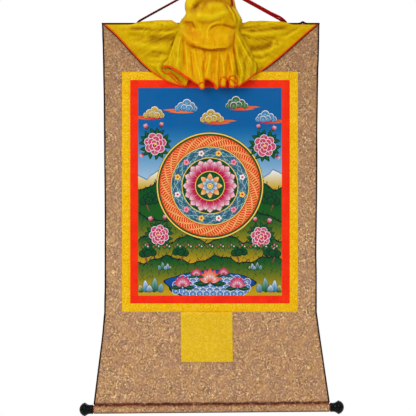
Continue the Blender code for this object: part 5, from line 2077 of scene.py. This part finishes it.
# A dark cord under each wing's hem stands for the shadow that the hem casts, a painted shadow: how far out,
# back and down it lies, and where it ends.
UNDER_OUT = 1.8
UNDER_BACK = 1.0
UNDER_DOWN = 1.8
UNDER_ENDS = {-1: 119 * MM, 1: 105 * MM}
THREAD_STEP = 1.0 * MM
UNDER_STEP = 1.5 * MM
LAYER_STEP = 3.0 * MM
SHORTEST_RUN = 4
SETTLINGS = 3
HEM_TURNS = (
    # the overlocked edge where it turns over and shows on the front: points (x, below)
    ((-100, 95), (-98.5, 91), (-94, 89), (-88, 89.5), (-81, 92), (-71, 97), (-61, 104), (-51, 111),
     (-43, 116)),
    ((-100, 96), (-97, 102), (-90, 105), (-81.5, 110.5), (-73, 120), (-64, 125), (-55, 130)),
    ((-80, 96), (-75, 98.5), (-69, 102.5), (-61, 107.5), (-50, 115), (-45, 117.5)),
    ((-88, 103), (-80, 104.5), (-73, 111), (-66, 119), (-60, 123)),
    ((-55, 131), (-49, 129), (-45, 122), (-43, 117)),
    ((-22.5, 126), (-24, 130), (-21.5, 135.5), (-17.5, 138), (-13, 135), (-13.5, 128), (-18, 124.5),
     (-22.5, 127)),
    ((-12.5, 128), (-12.5, 119), (-7.5, 117), (2.5, 123), (9.5, 129), (12, 137.5)),
    ((19, 130), (18.5, 121), (21.5, 115.5), (26.5, 113.5), (31.5, 116), (32, 124), (29.5, 131),
     (23, 132), (18.5, 127)),
    ((37, 122), (37.5, 114), (43, 111), (50, 112), (54, 118), (54, 127), (49, 132.5), (41.5, 132),
     (37, 125)),
    ((35.5, 116), (42, 119), (49, 124), (53.5, 126)),
)
# Heights about a turn at which the cloth is felt for, so that the thread lies on its outermost layer.
FEELERS = (-2.0 * MM, 0.0, 2.0 * MM, 4.5 * MM)


def cloth_front(surface, x, z):
    """How far forward the cloth comes close to this place, or None where there is none."""
    found = []
    for offset in FEELERS:
        hit = surface.ray_cast(Vector((x, -0.3, z + offset)), Vector((0.0, 1.0, 0.0)), 0.3)[0]
        if hit is not None:
            found.append(hit.y - 0.5 * TURN_RADIUS)
    return min(found, default=None)


def turned_hem(surface, points):
    """The runs of thread along one turn of the hem. A run ends where the cloth drops away."""
    runs = [[]]
    for point in smooth_route([Vector((x, below, 0.0)) * MM for x, below in points], THREAD_STEP):
        lying = cloth_front(surface, point.x, TOP_Z - point.y)
        if lying is None or (runs[-1] and abs(lying - runs[-1][-1].y) > LAYER_STEP):
            runs.append([])
        if lying is not None:
            runs[-1].append(Vector((point.x, lying, TOP_Z - point.y)))
    return [run for run in runs if len(run) >= SHORTEST_RUN]


def settle(run):
    """Draws a run of thread out of the cloth's small hollows."""
    for round_number in range(SETTLINGS):
        middles = [(a.y + b.y + c.y) / 3 for a, b, c in zip(run, run[1:], run[2:])]
        for point, y in zip(run[1:-1], middles):
            point.y = min(point.y, y)


hem_rows = rows[::-1]
last = len(hem_rows[0]) - 1
shown = round((1 - LAST_SHARE) / 2 * last)
wing_hems = [[hem_rows[k][end] for k in range(WING_STEPS + 1)] for end in (0, last)]
hems = [(route, HEM_RADIUS) for route in (*wing_hems, hem_rows[-1][shown:last + 1 - shown])]
surface = BVHTree.FromObject(veil, bpy.context.evaluated_depsgraph_get())
for points in HEM_TURNS:
    for run in turned_hem(surface, points):
        settle(run)
        hems.append((run, TURN_RADIUS))
threads = []
for number, (route, radius) in enumerate(hems, 1):
    piece = laid_cord(f"hem_thread_{number}", smooth_route(route, THREAD_STEP), radius, HEM_LAY, 2)
    piece.data.materials.append(thread.material)
    threads.append(piece)
# Each wing's hem gets a dark cord beside it, laid as the hem's painted shadow.
for (side, inner_end), route in zip(UNDER_ENDS.items(), wing_hems):
    offset = Vector((side * UNDER_OUT, UNDER_BACK, -UNDER_DOWN)) * MM
    beside = [point + offset for point in route if abs(point.x) > inner_end]
    name = f"hem_shadow_cord_{len(threads)}"
    piece = laid_cord(name, smooth_route(beside, UNDER_STEP), UNDER_RADIUS, UNDER_LAY, 2)
    piece.data.materials.append(hem_shadow_cord.material)
    threads.append(piece)
for piece in threads:
    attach(piece, "root")
sewn(veil, "veil")
